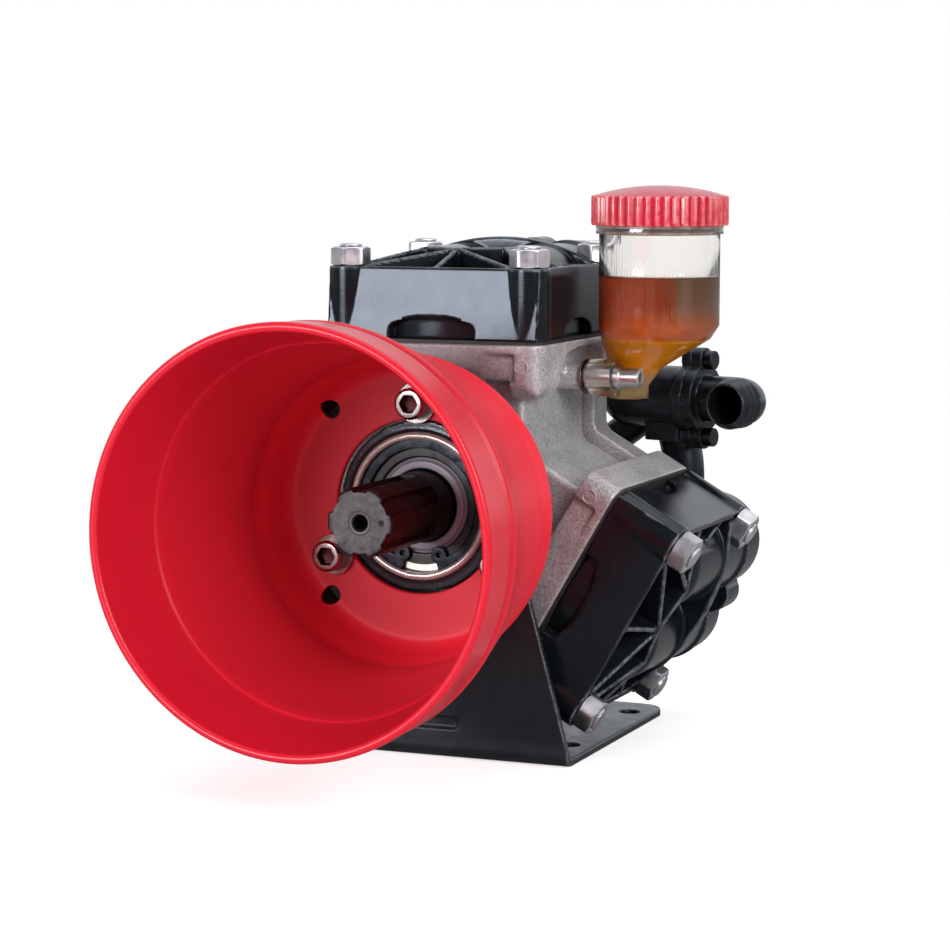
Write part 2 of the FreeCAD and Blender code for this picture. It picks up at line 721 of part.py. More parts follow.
def oil_seal():
    """Pressed case with a dished front, and the lip that runs on the shaft."""
    rear = SEAL_FRONT_Y + SEAL_WIDTH
    bore = SHAFT_R + RUNNING_PLAY
    lip = bore + SEAL_LIP_BAND
    case = BEARING_BORE_R - SEAL_CASE_BAND
    dish = SEAL_FRONT_Y + SEAL_DISH
    return turned([
        (bore, dish, 0),
        (bore + SEAL_LIP_RISE, SEAL_FRONT_Y, 0),
        (lip - SEAL_LIP_RISE, SEAL_FRONT_Y, 0),
        (lip, dish, 0),
        (case, dish, 0),
        (case, SEAL_FRONT_Y, 0),
        (BEARING_BORE_R, SEAL_FRONT_Y, 0),
        (BEARING_BORE_R, rear, 0),
        (bore, rear, 0),
    ])


def retaining_ring():
    """Internal spring ring, open at the bottom, with two eyed lugs."""
    y0 = BEARING_FACE_Y + SEAL_RECESS
    y1 = y0 + RING_THICKNESS
    outer = BEARING_BORE_R + RING_GROOVE_DEPTH
    inner = BEARING_BORE_R - RING_BAND
    half_gap = RING_GAP_ANGLE / 2
    far = 2 * outer
    wedge = closed_face([
        (0, y0 - PAST, 0),
        polar(far, 270 + half_gap, y0 - PAST),
        polar(far, 270 - half_gap, y0 - PAST),
    ]).extrude(Vector(0, RING_THICKNESS + 2 * PAST, 0))
    parts = [ring_solid(outer, inner, y0, y1).cut(wedge)]
    eyes = []
    lug_circle = inner - RING_LUG_R + RING_LUG_OVERLAP
    for side in (-1, 1):
        spot = polar(lug_circle, 270 + side * (half_gap + RING_LUG_TURN))
        parts.append(rod_y(RING_LUG_R, y0, y1, spot.x, spot.z))
        eyes.append(rod_y(RING_EYE_R, y0 - PAST, y1 + PAST, spot.x, spot.z))
    return cut_by(fused(parts), eyes)


def spline_section():
    """Six-tooth outline of the shaft end, as a face across the axis."""
    y = SHAFT_END_Y
    edges = []
    half = SPLINE_WIDTH / 2
    tip = math.degrees(math.asin(half / SPLINE_R))
    root = math.degrees(math.asin(half / SPLINE_ROOT_R))
    pitch = 360 / SPLINE_COUNT
    for i in range(SPLINE_COUNT):
        middle = i * pitch
        a = polar(SPLINE_ROOT_R, middle - root, y)
        b = polar(SPLINE_R, middle - tip, y)
        c = polar(SPLINE_R, middle + tip, y)
        d = polar(SPLINE_ROOT_R, middle + root, y)
        following = polar(SPLINE_ROOT_R, middle + pitch - root, y)
        edges.append(line(a, b))
        edges.append(arc(b, polar(SPLINE_R, middle, y), c))
        edges.append(line(c, d))
        edges.append(arc(d, polar(SPLINE_ROOT_R, middle + pitch / 2, y), following))
    return face_of(edges)


def drive_shaft():
    run_out = SHAFT_END_Y + SPLINE_LENGTH
    wide = SPLINE_R + PAST
    blank = turned([
        (0, SHAFT_END_Y, 0),
        (SPLINE_R - SHAFT_CHAMFER, SHAFT_END_Y, 0),
        (wide, SHAFT_END_Y + SHAFT_CHAMFER + PAST, 0),
        (wide, run_out, 0),
        (0, run_out, 0),
    ])
    splines = spline_section().extrude(Vector(0, SPLINE_LENGTH, 0)).common(blank)
    journal = rod_y(SHAFT_R, run_out, SHAFT_REAR_Y)
    deep = SHAFT_END_Y + CENTRE_HOLE_DEPTH
    centre = turned([
        (0, SHAFT_END_Y - PAST, 0),
        (CENTRE_HOLE_R + CENTRE_CHAMFER + PAST, SHAFT_END_Y - PAST, 0),
        (CENTRE_HOLE_R, SHAFT_END_Y + CENTRE_CHAMFER, 0),
        (CENTRE_HOLE_R, deep, 0),
        (0, deep + CENTRE_HOLE_R / 2, 0),
    ])
    return fused([splines, journal]).cut(centre)


def arc_centre(p, q, radius):
    """Centre of the arc of a given radius from p to q, on the side nearer to the axis."""
    along = q - p
    half = along.Length / 2
    across = Vector(-along.y, along.x, 0).normalize()
    if across.x > 0:
        across = -across
    return (p + q) * 0.5 + across * math.sqrt(radius ** 2 - half ** 2)


def rounded_by(centre, radius, p, q):
    """Arc from p to q about a centre, through the point half-way round."""
    middle = centre + ((p + q) * 0.5 - centre).normalize() * radius
    return arc(p, middle, q)


def guard_profile():
    """Half section of the bell, as (radius, y): flat base, round corner, cone, grooved band, lip."""
    front = BEARING_FACE_Y
    back = GUARD_BACK_Y
    cone_y = back - GUARD_BASE_LENGTH
    outer_back = Vector(GUARD_BACK_R, back, 0)
    outer_cone = Vector(GUARD_BASE_R, cone_y, 0)
    centre = arc_centre(outer_back, outer_cone, GUARD_BASE_ROUND)
    inner_round = GUARD_BASE_ROUND - GUARD_WALL
    inner_front = Vector(centre.x + math.sqrt(inner_round ** 2 - (front - centre.y) ** 2), front, 0)
    inner_cone = Vector(centre.x + math.sqrt(inner_round ** 2 - (cone_y - centre.y) ** 2), cone_y, 0)

    band_r = GUARD_MOUTH_R - GUARD_BAND_DRAFT
    band_y = GUARD_MOUTH_Y + GUARD_BAND_LENGTH
    groove_r = band_r - GUARD_GROOVE_DEPTH
    groove_y = band_y + GUARD_GROOVE_WIDTH
    ridge_y = groove_y + GUARD_RIDGE_WIDTH
    lip_r = GUARD_LIP / 2
    lip_y = GUARD_MOUTH_Y + lip_r
    inner_mouth_r = GUARD_MOUTH_R - GUARD_LIP
    ledge_r = inner_mouth_r - (GUARD_LEDGE_Y - lip_y) * (inner_mouth_r - inner_cone.x) / (cone_y - lip_y) / 2

    stations = [
        outer_cone,
        (band_r, ridge_y, 0),
        (band_r - lip_r / 2, groove_y, 0),
        (groove_r, groove_y - lip_r / 2, 0),
        (groove_r, band_y + lip_r / 2, 0),
        (band_r, band_y, 0),
        (GUARD_MOUTH_R, lip_y, 0),
    ]
    inside = [
        (inner_mouth_r, lip_y, 0),
        (ledge_r, GUARD_LEDGE_Y, 0),
        (ledge_r - GUARD_LEDGE, GUARD_LEDGE_Y + GUARD_LEDGE, 0),
        inner_cone,
    ]
    edges = [
        line((GUARD_HOLE_R, front, 0), (GUARD_HOLE_R, back, 0)),
        line((GUARD_HOLE_R, back, 0), outer_back),
        rounded_by(centre, GUARD_BASE_ROUND, outer_back, outer_cone),
    ]
    edges += [line(p, q) for p, q in zip(stations, stations[1:])]
    edges.append(arc(stations[-1], (GUARD_MOUTH_R - lip_r, GUARD_MOUTH_Y, 0), inside[0]))
    edges += [line(p, q) for p, q in zip(inside, inside[1:])]
    edges.append(rounded_by(centre, inner_round, inner_cone, inner_front))
    edges.append(line(inner_front, (GUARD_HOLE_R, front, 0)))
    return face_of(edges)


def shaft_guard():
    """Moulded bell with its vents and screw holes."""
    bell = guard_profile().revolve(ORIGIN, AXIS_Y, 360)
    front = BEARING_FACE_Y - GUARD_VENT_REACH
    back = GUARD_BACK_Y + PAST
    holes = []
    for sx in (-1, 1):
        for sz in (-1, 1):
            holes.append(rod_y(GUARD_VENT_R, front, back, sx * GUARD_VENT_PITCH, sz * GUARD_VENT_PITCH))
    for place in guard_screw_places():
        holes.append(rod_y(GUARD_SCREW_R + GUARD_SCREW_PLAY, front, back, place.x, place.z))
    return cut_by(bell, holes)


def guard_screws():
    """Three socket screws with their washers, as separate solids."""
    solids = []
    seat = BEARING_FACE_Y - WASHER_THICKNESS
    top = seat - GUARD_SCREW_HEAD
    for place in guard_screw_places():
        x = place.x
        z = place.z
        shank = rod_y(GUARD_SCREW_R, seat, GUARD_BACK_Y + GUARD_SCREW_GRIP, x, z)
        washer = rod_y(WASHER_R, seat, BEARING_FACE_Y, x, z)
        cap = rod_y(GUARD_SCREW_HEAD_R, top, seat, x, z)
        cap = cap.makeChamfer(GUARD_SCREW_CHAMFER, picked(cap, at_y(top)))
        socket = hex_prism(GUARD_SCREW_SOCKET_AF, (x, top - PAST, z), (x, top + GUARD_SCREW_SOCKET_DEPTH, z))
        solids.append(fused([shank, washer, cap]).cut(socket))
    return Part.makeCompound(solids)


def foot_sheet():
    """Bent sheet, upright at the front and flat below, at its full width."""
    y0 = GUARD_BACK_Y
    y1 = FOOT_FRONT_BACK_Y
    low = FOOT_BOTTOM_Z
    floor = low + FOOT_THICKNESS
    bend_y = y0 + FOOT_BEND_R
    bend_z = low + FOOT_BEND_R
    x = -FOOT_HALF_WIDTH
    slope = math.sqrt(0.5)

    def bend(radius, p, q):
        return arc(p, (x, bend_y - radius * slope, bend_z - radius * slope), q)

    return face_of([
        line((x, y0, FOOT_TOP_Z), (x, y0, bend_z)),
        bend(FOOT_BEND_R, (x, y0, bend_z), (x, bend_y, low)),
        line((x, bend_y, low), (x, FOOT_REAR_Y, low)),
        line((x, FOOT_REAR_Y, low), (x, FOOT_REAR_Y, floor)),
        line((x, FOOT_REAR_Y, floor), (x, bend_y, floor)),
        bend(FOOT_BEND_R - FOOT_THICKNESS, (x, bend_y, floor), (x, y1, bend_z)),
        line((x, y1, bend_z), (x, y1, FOOT_TOP_Z)),
        line((x, y1, FOOT_TOP_Z), (x, y0, FOOT_TOP_Z)),
    ]).extrude(Vector(2 * FOOT_HALF_WIDTH, 0, 0))


def dimple():
    """Shallow pressed slot low in the foot's front plate."""
    y0 = GUARD_BACK_Y - PAST
    y1 = GUARD_BACK_Y + DIMPLE_DEPTH
    reach = DIMPLE_HALF_LENGTH - DIMPLE_HALF_HEIGHT
    parts = [rod_y(DIMPLE_HALF_HEIGHT, y0, y1, DIMPLE_X + side * reach, DIMPLE_Z) for side in (-1, 1)]
    parts.append(block(DIMPLE_X - reach, DIMPLE_X + reach, y0, y1,
                       DIMPLE_Z - DIMPLE_HALF_HEIGHT, DIMPLE_Z + DIMPLE_HALF_HEIGHT))
    return fused(parts)


def foot_bracket():
    """Bent sheet foot: an upright plate bolted under the guard, and a flat base with four holes."""
    y0 = GUARD_BACK_Y
    low = FOOT_BOTTOM_Z
    bend_z = low + FOOT_BEND_R
    outline = closed_face([
        (-FOOT_HALF_WIDTH, y0, low),
        (FOOT_HALF_WIDTH, y0, low),
        (FOOT_HALF_WIDTH, y0, bend_z),
        (FOOT_NECK_HALF_WIDTH, y0, FOOT_NECK_Z),
        (FOOT_NECK_HALF_WIDTH, y0, FOOT_TOP_Z),
        (-FOOT_NECK_HALF_WIDTH, y0, FOOT_TOP_Z),
        (-FOOT_NECK_HALF_WIDTH, y0, FOOT_NECK_Z),
        (-FOOT_HALF_WIDTH, y0, bend_z),
    ]).extrude(Vector(0, FOOT_REAR_Y - y0, 0))
    plan = block(-FOOT_HALF_WIDTH, FOOT_HALF_WIDTH, y0, FOOT_REAR_Y, low, FOOT_TOP_Z)
    corners = picked(plan, lambda box: box.ZLength > NEAR and box.YMin > FOOT_REAR_Y - NEAR)
    bracket = foot_sheet().common(outline).common(plan.makeFillet(FOOT_CORNER_R, corners))

    y1 = FOOT_FRONT_BACK_Y + PAST
    cuts = [rod_y(GUARD_HOLE_R, y0 - PAST, y1), dimple()]
    for place in guard_screw_places():
        cuts.append(rod_y(GUARD_SCREW_R + GUARD_SCREW_PLAY, y0 - PAST, y1, place.x, place.z))
    for hole_x in (-FOOT_HOLE_X, FOOT_HOLE_X):
        for hole_y in FOOT_HOLE_Y:
            cuts.append(rod_z(FOOT_HOLE_R, hole_x, hole_y, low - PAST, low + FOOT_THICKNESS + PAST))
    return cut_by(bracket, cuts)


def rear_screw_places():
    """Two screws on each arm of the rear cover."""
    places = []
    for arm in HEAD_ANGLES:
        for side in (-1, 1):
            places.append(polar(REAR_SCREW_AT_R, arm) + polar(side * REAR_SCREW_T, arm + 90))
    return places


def rear_screw_holes(radius, y0, y1):
    return [rod_y(radius, y0, y1, p.x, p.z) for p in rear_screw_places()]


def rear_gasket():
    half = NECK_HALF_WIDTH - GASKET_INSET
    sheet = star_prism(half, REAR_REACH, CROTCH_R, CASE_REAR_Y, REAR_FRONT_Y)
    hole_r = REAR_SCREW_R + STUD_HOLE_PLAY
    return cut_by(sheet, rear_screw_holes(hole_r, CASE_REAR_Y - PAST, REAR_FRONT_Y + PAST))


def rear_cover():
    """Cast cover of the same three-armed outline as the crankcase, standing proud of it."""
    star = star_prism(REAR_COVER_HALF_WIDTH, REAR_REACH, CROTCH_R, REAR_FRONT_Y, REAR_BACK_Y)
    star = star.makeFillet(REAR_COVER_EDGE_R, picked(star, at_y(REAR_BACK_Y)))
    star = star.makeChamfer(JOINT_CHAMFER, picked(star, at_y(REAR_FRONT_Y)))
    boss = rod_y(REAR_BOSS_R, REAR_FRONT_Y + SHARED, REAR_BACK_Y + REAR_BOSS_HEIGHT)
    holes = rear_screw_holes(REAR_SCREW_R + STUD_HOLE_PLAY, REAR_FRONT_Y - PAST, REAR_BACK_Y + PAST)
    return cut_by(fused([star, boss]), holes)


def rear_screws():
    solids = []
    for p in rear_screw_places():
        shank = rod_y(REAR_SCREW_R, CASE_REAR_Y - REAR_SCREW_GRIP, REAR_BACK_Y, p.x, p.z)
        top = (p.x, REAR_BACK_Y + REAR_SCREW_HEAD, p.z)
        cap = hex_prism(REAR_SCREW_HEAD_AF, (p.x, REAR_BACK_Y, p.z), top)
        solids.append(fused([shank, cap]))
    return Part.makeCompound(solids)


def swept(section_r, path, start, way):
    """Round bar along a path."""
    return path.makePipeShell([Part.Wire([Part.makeCircle(section_r, start, way)])], True, True)


def arc_tube(radius, ring_r, y, start, end):
    """Tube along an arc about the shaft axis, at one depth."""
    first = polar(ring_r, start, y)
    path = Part.Wire([arc(first, polar(ring_r, (start + end) / 2, y), polar(ring_r, end, y))])
    return swept(radius, path, first, polar(1, start + 90))


def barrel_end(head_angle, side, y):
    """Point on a valve barrel's axis, on the anticlockwise or the clockwise side of a head."""
    turn = side * math.degrees(math.atan2(BARREL_AT, BARREL_AXIS_R))
    return polar(math.hypot(BARREL_AXIS_R, BARREL_AT), head_angle + turn, y)


def inlet_axis():
    """Corner of the elbow, direction out of the inlet and direction out of the mouth."""
    turn = math.radians(INLET_TURN)
    outward = Vector(math.cos(turn), -math.sin(turn), 0)
    mouth_way = Vector(-math.sin(turn), -math.cos(turn), 0)
    corner = Vector(*ELBOW_MOUTH) - mouth_way * ELBOW_BARB_LENGTH
    return corner, outward, mouth_way


def inlet_face():
    """Middle of the face where the elbow's flange meets the manifold's."""
    corner, outward, _ = inlet_axis()
    return corner - outward * ELBOW_NECK_LENGTH


def lug_offsets():
    return [Vector(0, 0, side * INLET_LUG_OFFSET) for side in (-1, 1)]


def inlet_flange(start, end):
    """Oval flange with two lugs, above and below the pipe, and the tools that drill it."""
    along = end - start
    parts = [rod(INLET_FLANGE_R, start, end)]
    parts += [rod(INLET_LUG_R, start + lift, end + lift) for lift in lug_offsets()]
    holes = [rod(INLET_SCREW_R, start + lift - along, end + lift + along) for lift in lug_offsets()]
    return fused(parts), holes


def inlet_boss(face, outward):
    """Square boss under the inlet body."""
    back = face - outward * (INLET_FLANGE_THICKNESS + INLET_BOSS_LENGTH)
    side = Vector(outward.y, -outward.x, 0) * INLET_BOSS_HALF_WIDTH
    top = Vector(0, 0, -INLET_BODY_R / 2)
    low = Vector(0, 0, -INLET_BOSS_DROP)
    section = closed_face([back + side + top, back - side + top, back - side + low, back + side + low])
    return section.extrude(outward * INLET_BOSS_LENGTH)


def suction_manifold(covers):
    _, outward, _ = inlet_axis()
    face = inlet_face()
    inner_end = face - outward * INLET_BODY_LENGTH
    flange, holes = inlet_flange(face - outward * INLET_FLANGE_THICKNESS, face)
    first = SUCTION_ANGLE - SUCTION_SPREAD
    last = SUCTION_ANGLE + SUCTION_SPREAD
    arm_start = polar(GAP_R, SUCTION_ANGLE, SUCTION_Y)
    whole = fused([
        arc_tube(SUCTION_TUBE_R, GAP_R, SUCTION_Y, first, last),
        rod(INLET_BODY_R, inner_end, face),
        Part.makeSphere(INLET_BODY_R, inner_end),
        inlet_boss(face, outward),
        rod(SUCTION_ARM_R, arm_start, barrel_end(HEAD_ANGLES[2], 1, SUCTION_Y)),
        flange,
    ])
    bore = rod(ELBOW_BORE_R, inner_end, face + outward)
    return cut_by(whole, covers + holes + [bore])


def inlet_screws():
    _, outward, _ = inlet_axis()
    face = inlet_face()
    seat = face + outward * ELBOW_FLANGE_THICKNESS
    solids = []
    for lift in lug_offsets():
        shank = rod(INLET_SCREW_R, face - outward * INLET_FLANGE_THICKNESS + lift, seat + lift)
        cap = rod(INLET_SCREW_HEAD_R, seat + lift, seat + lift + outward * INLET_SCREW_HEAD)
        solids.append(fused([shank, cap]))
    return Part.makeCompound(solids)


def barb_tail(start, way, length, radius, bore, count, rise):
    """Hose tail along a direction, as a stack of short cones with its bore open."""
    step = length / count
    parts = []
    for i in range(count):
        parts.append(Part.makeCone(radius + rise, radius - rise, step, start + way * (i * step), way))
    return fused(parts).cut(rod(bore, start - way, start + way * (length + PAST)))


def suction_elbow():
    corner, outward, mouth_way = inlet_axis()
    face = inlet_face()
    flange, holes = inlet_flange(face, face + outward * ELBOW_FLANGE_THICKNESS)
    bend_start = corner - outward * ELBOW_BEND_R
    bend_end = corner + mouth_way * ELBOW_BEND_R
    centre = bend_start + mouth_way * ELBOW_BEND_R
    middle = centre + (outward - mouth_way).normalize() * ELBOW_BEND_R
    path = Part.Wire([line(face, bend_start), arc(bend_start, middle, bend_end)])
    outer = swept(ELBOW_R, path, face, outward)
    inner = swept(ELBOW_BORE_R, path, face, outward)
    tail = barb_tail(bend_end, mouth_way, ELBOW_BARB_LENGTH - ELBOW_BEND_R, ELBOW_R, ELBOW_BORE_R,
                     ELBOW_BARBS, ELBOW_BARB_RISE)
    return fused([cut_by(fused([outer, flange]), holes + [inner]), tail])


def delivery_manifold(barrels):
    out = polar(1, DELIVERY_ANGLE)
    first = DELIVERY_ANGLE - SUCTION_SPREAD
    last = DELIVERY_ANGLE + SUCTION_SPREAD
    middle = polar(GAP_R, DELIVERY_ANGLE, DELIVERY_Y)
    hub_end = middle + out * (DELIVERY_TUBE_R + OUTLET_COLLAR)
    whole = fused([
        arc_tube(DELIVERY_TUBE_R, GAP_R, DELIVERY_Y, first, last),
        rod(DELIVERY_ARM_R, middle, barrel_end(HEAD_ANGLES[1], -1, DELIVERY_Y)),
        rod(OUTLET_BODY_R, middle, hub_end),
        Part.makeSphere(OUTLET_BODY_R, middle),
    ])
    return cut_by(whole, barrels + [rod(OUTLET_BORE_R, middle, hub_end + out)])


def delivery_tail():
    out = polar(1, DELIVERY_ANGLE)
    seat = GAP_R + DELIVERY_TUBE_R + OUTLET_COLLAR
    start = polar(seat, DELIVERY_ANGLE, DELIVERY_Y)
    tail_start = start + out * OUTLET_COLLAR
    collar = hex_prism(OUTLET_NUT_AF, start, tail_start)
    collar = collar.cut(rod(OUTLET_BORE_R, start - out, tail_start + out))
    tail = barb_tail(tail_start, out, OUTLET_END_R - seat - OUTLET_COLLAR, OUTLET_R, OUTLET_BORE_R,
                     OUTLET_BARBS, OUTLET_BARB_RISE)
    return fused([collar, tail])


def jar_ring(x, y, z, radius):
    return Part.Wire([Part.makeCircle(radius, Vector(x, y, z), AXIS_Z)])


def jar_form(inset, top_z):
    """Round jar whose bottom slants to a narrow foot on its left, over the oil port."""
    foot_y = JAR_Y + JAR_FOOT_SHIFT_Y
    throat_x = JAR_FOOT_LEFT_X + JAR_THROAT_R
    wide = rod_z(JAR_R - inset, JAR_X, JAR_Y, JAR_WAIST_Z, top_z)
    funnel = Part.makeLoft([
        jar_ring(JAR_X, JAR_Y, JAR_WAIST_Z, JAR_R - inset),
        jar_ring(JAR_X + JAR_BOWL_SHIFT, JAR_Y, JAR_BOWL_Z, JAR_R - JAR_BOWL_SHRINK - inset),
        jar_ring(throat_x, foot_y, JAR_THROAT_Z, JAR_THROAT_R - inset),
        jar_ring(JAR_FOOT_X, foot_y, JAR_FOOT_TOP_Z, JAR_FOOT_R - inset),
        jar_ring(JAR_FOOT_X, foot_y, JAR_FOOT_Z + inset, JAR_FOOT_R - inset),
    ], True, True)
    return fused([wide, funnel])


def port_line(radius, x0, x1):
    """Round bar on the oil port's axis."""
    return rod(radius, (x0, OIL_PORT_Y, OIL_PORT_Z), (x1, OIL_PORT_Y, OIL_PORT_Z))


def oil_jar():
    outer = jar_form(0.0, JAR_TOP_Z)
    neck = rod_z(JAR_R + JAR_NECK_RISE, JAR_X, JAR_Y, CAP_RIB_Z - JAR_NECK_HEIGHT, CAP_RIB_Z)
    eye = port_line(OIL_TUBE_R, OIL_PORT_FACE_X + PORT_WASHER_THICKNESS, BANJO_SEAT_X)
    web = block(JAR_FOOT_LEFT_X, BANJO_SEAT_X, OIL_PORT_Y, JAR_Y + JAR_FOOT_SHIFT_Y,
                JAR_FOOT_Z + JAR_WALL, OIL_PORT_Z + OIL_TUBE_R - JAR_WALL)
    body = fused([outer, neck, eye, web])
    inner = jar_form(JAR_WALL, JAR_TOP_Z + PAST)
    return cut_by(body, [inner, port_line(BANJO_R + STUD_HOLE_PLAY, OIL_PORT_FACE_X, BANJO_SEAT_X + PAST)])


def oil():
    return jar_form(JAR_WALL + OIL_PLAY, OIL_LEVEL_Z)


def jar_cap():
    top = CAP_RIB_Z + CAP_RIB_HEIGHT
    skirt_r = CAP_R - CAP_RIB_DEPTH
    sphere_r = (CAP_R ** 2 + CAP_DOME ** 2) / (2 * CAP_DOME)
    dome = Part.makeSphere(sphere_r, Vector(JAR_X, JAR_Y, top + CAP_DOME - sphere_r))
    dome = dome.common(rod_z(skirt_r, JAR_X, JAR_Y, top, top + CAP_DOME + PAST))
    parts = [rod_z(skirt_r, JAR_X, JAR_Y, CAP_RIB_Z, top), dome]
    half = math.pi * CAP_R / CAP_RIBS / 2
    for i in range(CAP_RIBS):
        bar = block(skirt_r - SHARED, CAP_R, -half, half, CAP_RIB_Z, top)
        bar.rotate(ORIGIN, AXIS_Z, 360 * i / CAP_RIBS)
        bar.translate(Vector(JAR_X, JAR_Y, 0))
        parts.append(bar)
    inside = rod_z(JAR_R + OIL_PLAY, JAR_X, JAR_Y, CAP_RIB_Z - PAST, top - CAP_WALL)
    return fused(parts).cut(inside)


def banjo_bolt():
    collar_end = BANJO_SEAT_X + BANJO_COLLAR
    end = collar_end + BANJO_HEAD
    bolt = fused([
        port_line(BANJO_R, OIL_PORT_FACE_X - BANJO_GRIP, BANJO_SEAT_X),
        port_line(BANJO_COLLAR_R, BANJO_SEAT_X, collar_end),
        port_line(BANJO_HEAD_R, collar_end, end),
    ])
    return bolt.cut(hex_prism(BANJO_SOCKET_AF, (end - BANJO_SOCKET_DEPTH, OIL_PORT_Y, OIL_PORT_Z),
                              (end + PAST, OIL_PORT_Y, OIL_PORT_Z)))


def port_washer():
    x0 = OIL_PORT_FACE_X
    x1 = x0 + PORT_WASHER_THICKNESS
    return port_line(PORT_WASHER_R, x0, x1).cut(port_line(BANJO_R + STUD_HOLE_PLAY, x0 - PAST, x1 + PAST))


def write(name, shape):
    shape.translate(Vector(0, 0, SHAFT_HEIGHT))
    shape.exportStep(os.path.join("parts", name + ".step"))


def main():
    os.makedirs("parts", exist_ok=True)
    one_head = head()
    one_cover = cover_form()
    cover_rooms = [to_head(cover_form(SEAT_PLAY), a) for a in HEAD_ANGLES]
    barrel_rooms = [to_head(barrel_room(), a) for a in HEAD_ANGLES]
    for side, degrees in zip(("top", "right", "left"), HEAD_ANGLES):
        write(side + "_diaphragm", to_head(diaphragm(), degrees))
        write(side + "_head", to_head(one_head, degrees))
        write(side + "_head_studs", to_head(head_studs(), degrees))
        write(side + "_valve_cover", to_head(one_cover, degrees))
    write("crankcase", crankcase())
    write("drain_plug", drain_plug())
    write("oil_seal", oil_seal())
    write("retaining_ring", retaining_ring())
    write("drive_shaft", drive_shaft())
    write("shaft_guard", shaft_guard())
    write("guard_screws", guard_screws())
    write("foot_bracket", foot_bracket())
    write("rear_gasket", rear_gasket())
    write("rear_cover", rear_cover())
    write("rear_cover_screws", rear_screws())
    write("suction_manifold", suction_manifold(cover_rooms))
    write("suction_elbow", suction_elbow())
    write("inlet_screws", inlet_screws())
    write("delivery_manifold", delivery_manifold(barrel_rooms))
    write("delivery_tail", delivery_tail())
    write("oil_jar", oil_jar())
    write("oil", oil())
    write("jar_cap", jar_cap())
    write("banjo_bolt", banjo_bolt())
    write("port_washer", port_washer())


main()
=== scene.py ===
"""Looks of a three-diaphragm piston pump, built round its CAD solids.

Meshes are written in millimetres about the shaft axis, with y = 0 at the middle of the heads, and are then
brought to metres and lifted to the shaft's height. Materials read their places in metres, with z from the
floor.
"""
import math

import bmesh
import bpy
from mathutils import Matrix, Vector


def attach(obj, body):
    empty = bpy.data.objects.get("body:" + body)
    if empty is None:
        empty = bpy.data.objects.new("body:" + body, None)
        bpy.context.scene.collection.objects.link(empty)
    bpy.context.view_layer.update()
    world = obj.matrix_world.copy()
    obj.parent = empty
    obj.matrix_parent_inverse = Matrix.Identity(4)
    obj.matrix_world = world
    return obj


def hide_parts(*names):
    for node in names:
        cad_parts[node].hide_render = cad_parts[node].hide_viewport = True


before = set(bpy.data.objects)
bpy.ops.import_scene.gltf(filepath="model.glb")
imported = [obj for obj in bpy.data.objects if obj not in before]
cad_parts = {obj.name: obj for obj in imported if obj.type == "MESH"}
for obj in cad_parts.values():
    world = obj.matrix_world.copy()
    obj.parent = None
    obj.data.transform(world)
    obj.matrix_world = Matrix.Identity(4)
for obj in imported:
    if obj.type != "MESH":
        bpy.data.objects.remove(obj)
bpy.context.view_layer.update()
scene = bpy.context.scene

MM = 0.001
SHAFT_HEIGHT = 127.0
LIFT = Matrix.Translation((0, 0, SHAFT_HEIGHT * MM))
TO_ROW = LIFT @ Matrix.Scale(MM, 4)
TO_FRONT = Matrix.Rotation(math.radians(90), 4, "X")

# Heads and crankcase
HEAD_TURNS = {"top": 0.0, "right": 120.0, "left": -120.0}
HEAD_TOP_R = 118.0
STUD_SPACING = 97.0
FLANGE_FRONT_Y = -59.3
PIN_MARK_R = 69.6

# Guard
GUARD_BACK_Y = -72.0
GUARD_FLOOR_Y = -75.8
BASE_CORNER_R = 67.0
BASE_END_R = 79.5
BASE_END_Y = -110.0
BASE_ROUND = 57.6
GUARD_INNER_ROUND = 54.4
MOUTH_R = 95.4
MOUTH_Y = -226.4
LIP_R = 2.3
LEDGE_Y = -184.0
VENT_AT = 47.0
VENT_R = 4.75
# A sheet that closes each vent from behind, painted black to stand for the shade seen through it.
VENT_SHADE_SHEET = [(61.2, 72.5), (66.7, 72.5), (71.9, 79.4), (71.5, 79.8), (66.4, 73.0), (61.2, 73.0)]
VENT_SHADE_SHEET_HALF = 5.4
GUARD_SCREWS = 3
GUARD_SCREW_CIRCLE = 52.0
SCREW_HOLE_R = 5.5

# Jar
JAR_X = 95.4
JAR_Y = 14.0
JAR_AXIS = Matrix.Translation((JAR_X, JAR_Y, 0))
JAR_SEAM = 99.0
JAR_WALL = [(0, JAR_SEAM - 1.0), (30.8, JAR_SEAM - 1.0), (30.8, 133.8), (31.0, 134.2), (32.2, 134.4),
            (32.4, 134.6), (32.4, 138.2), (32.2, 138.4), (31.0, 138.5), (30.8, 138.8), (30.8, 139.8),
            (30.6, 140.0), (29.0, 140.0), (28.8, 139.8), (28.8, 114.4), (28.6, 113.7), (28.1, 113.2),
            (27.2, 113.0), (20.0, 112.95), (0, 112.95)]
COLLAR = [(32.0, 134.4), (32.3, 134.3), (32.46, 134.5), (32.46, 135.5), (32.2, 135.8), (32.2, 136.9),
          (32.46, 137.2), (32.46, 138.2), (32.3, 138.38), (32.0, 138.38)]
OIL_SWELL = 0.6
CAP_RIBS = 44

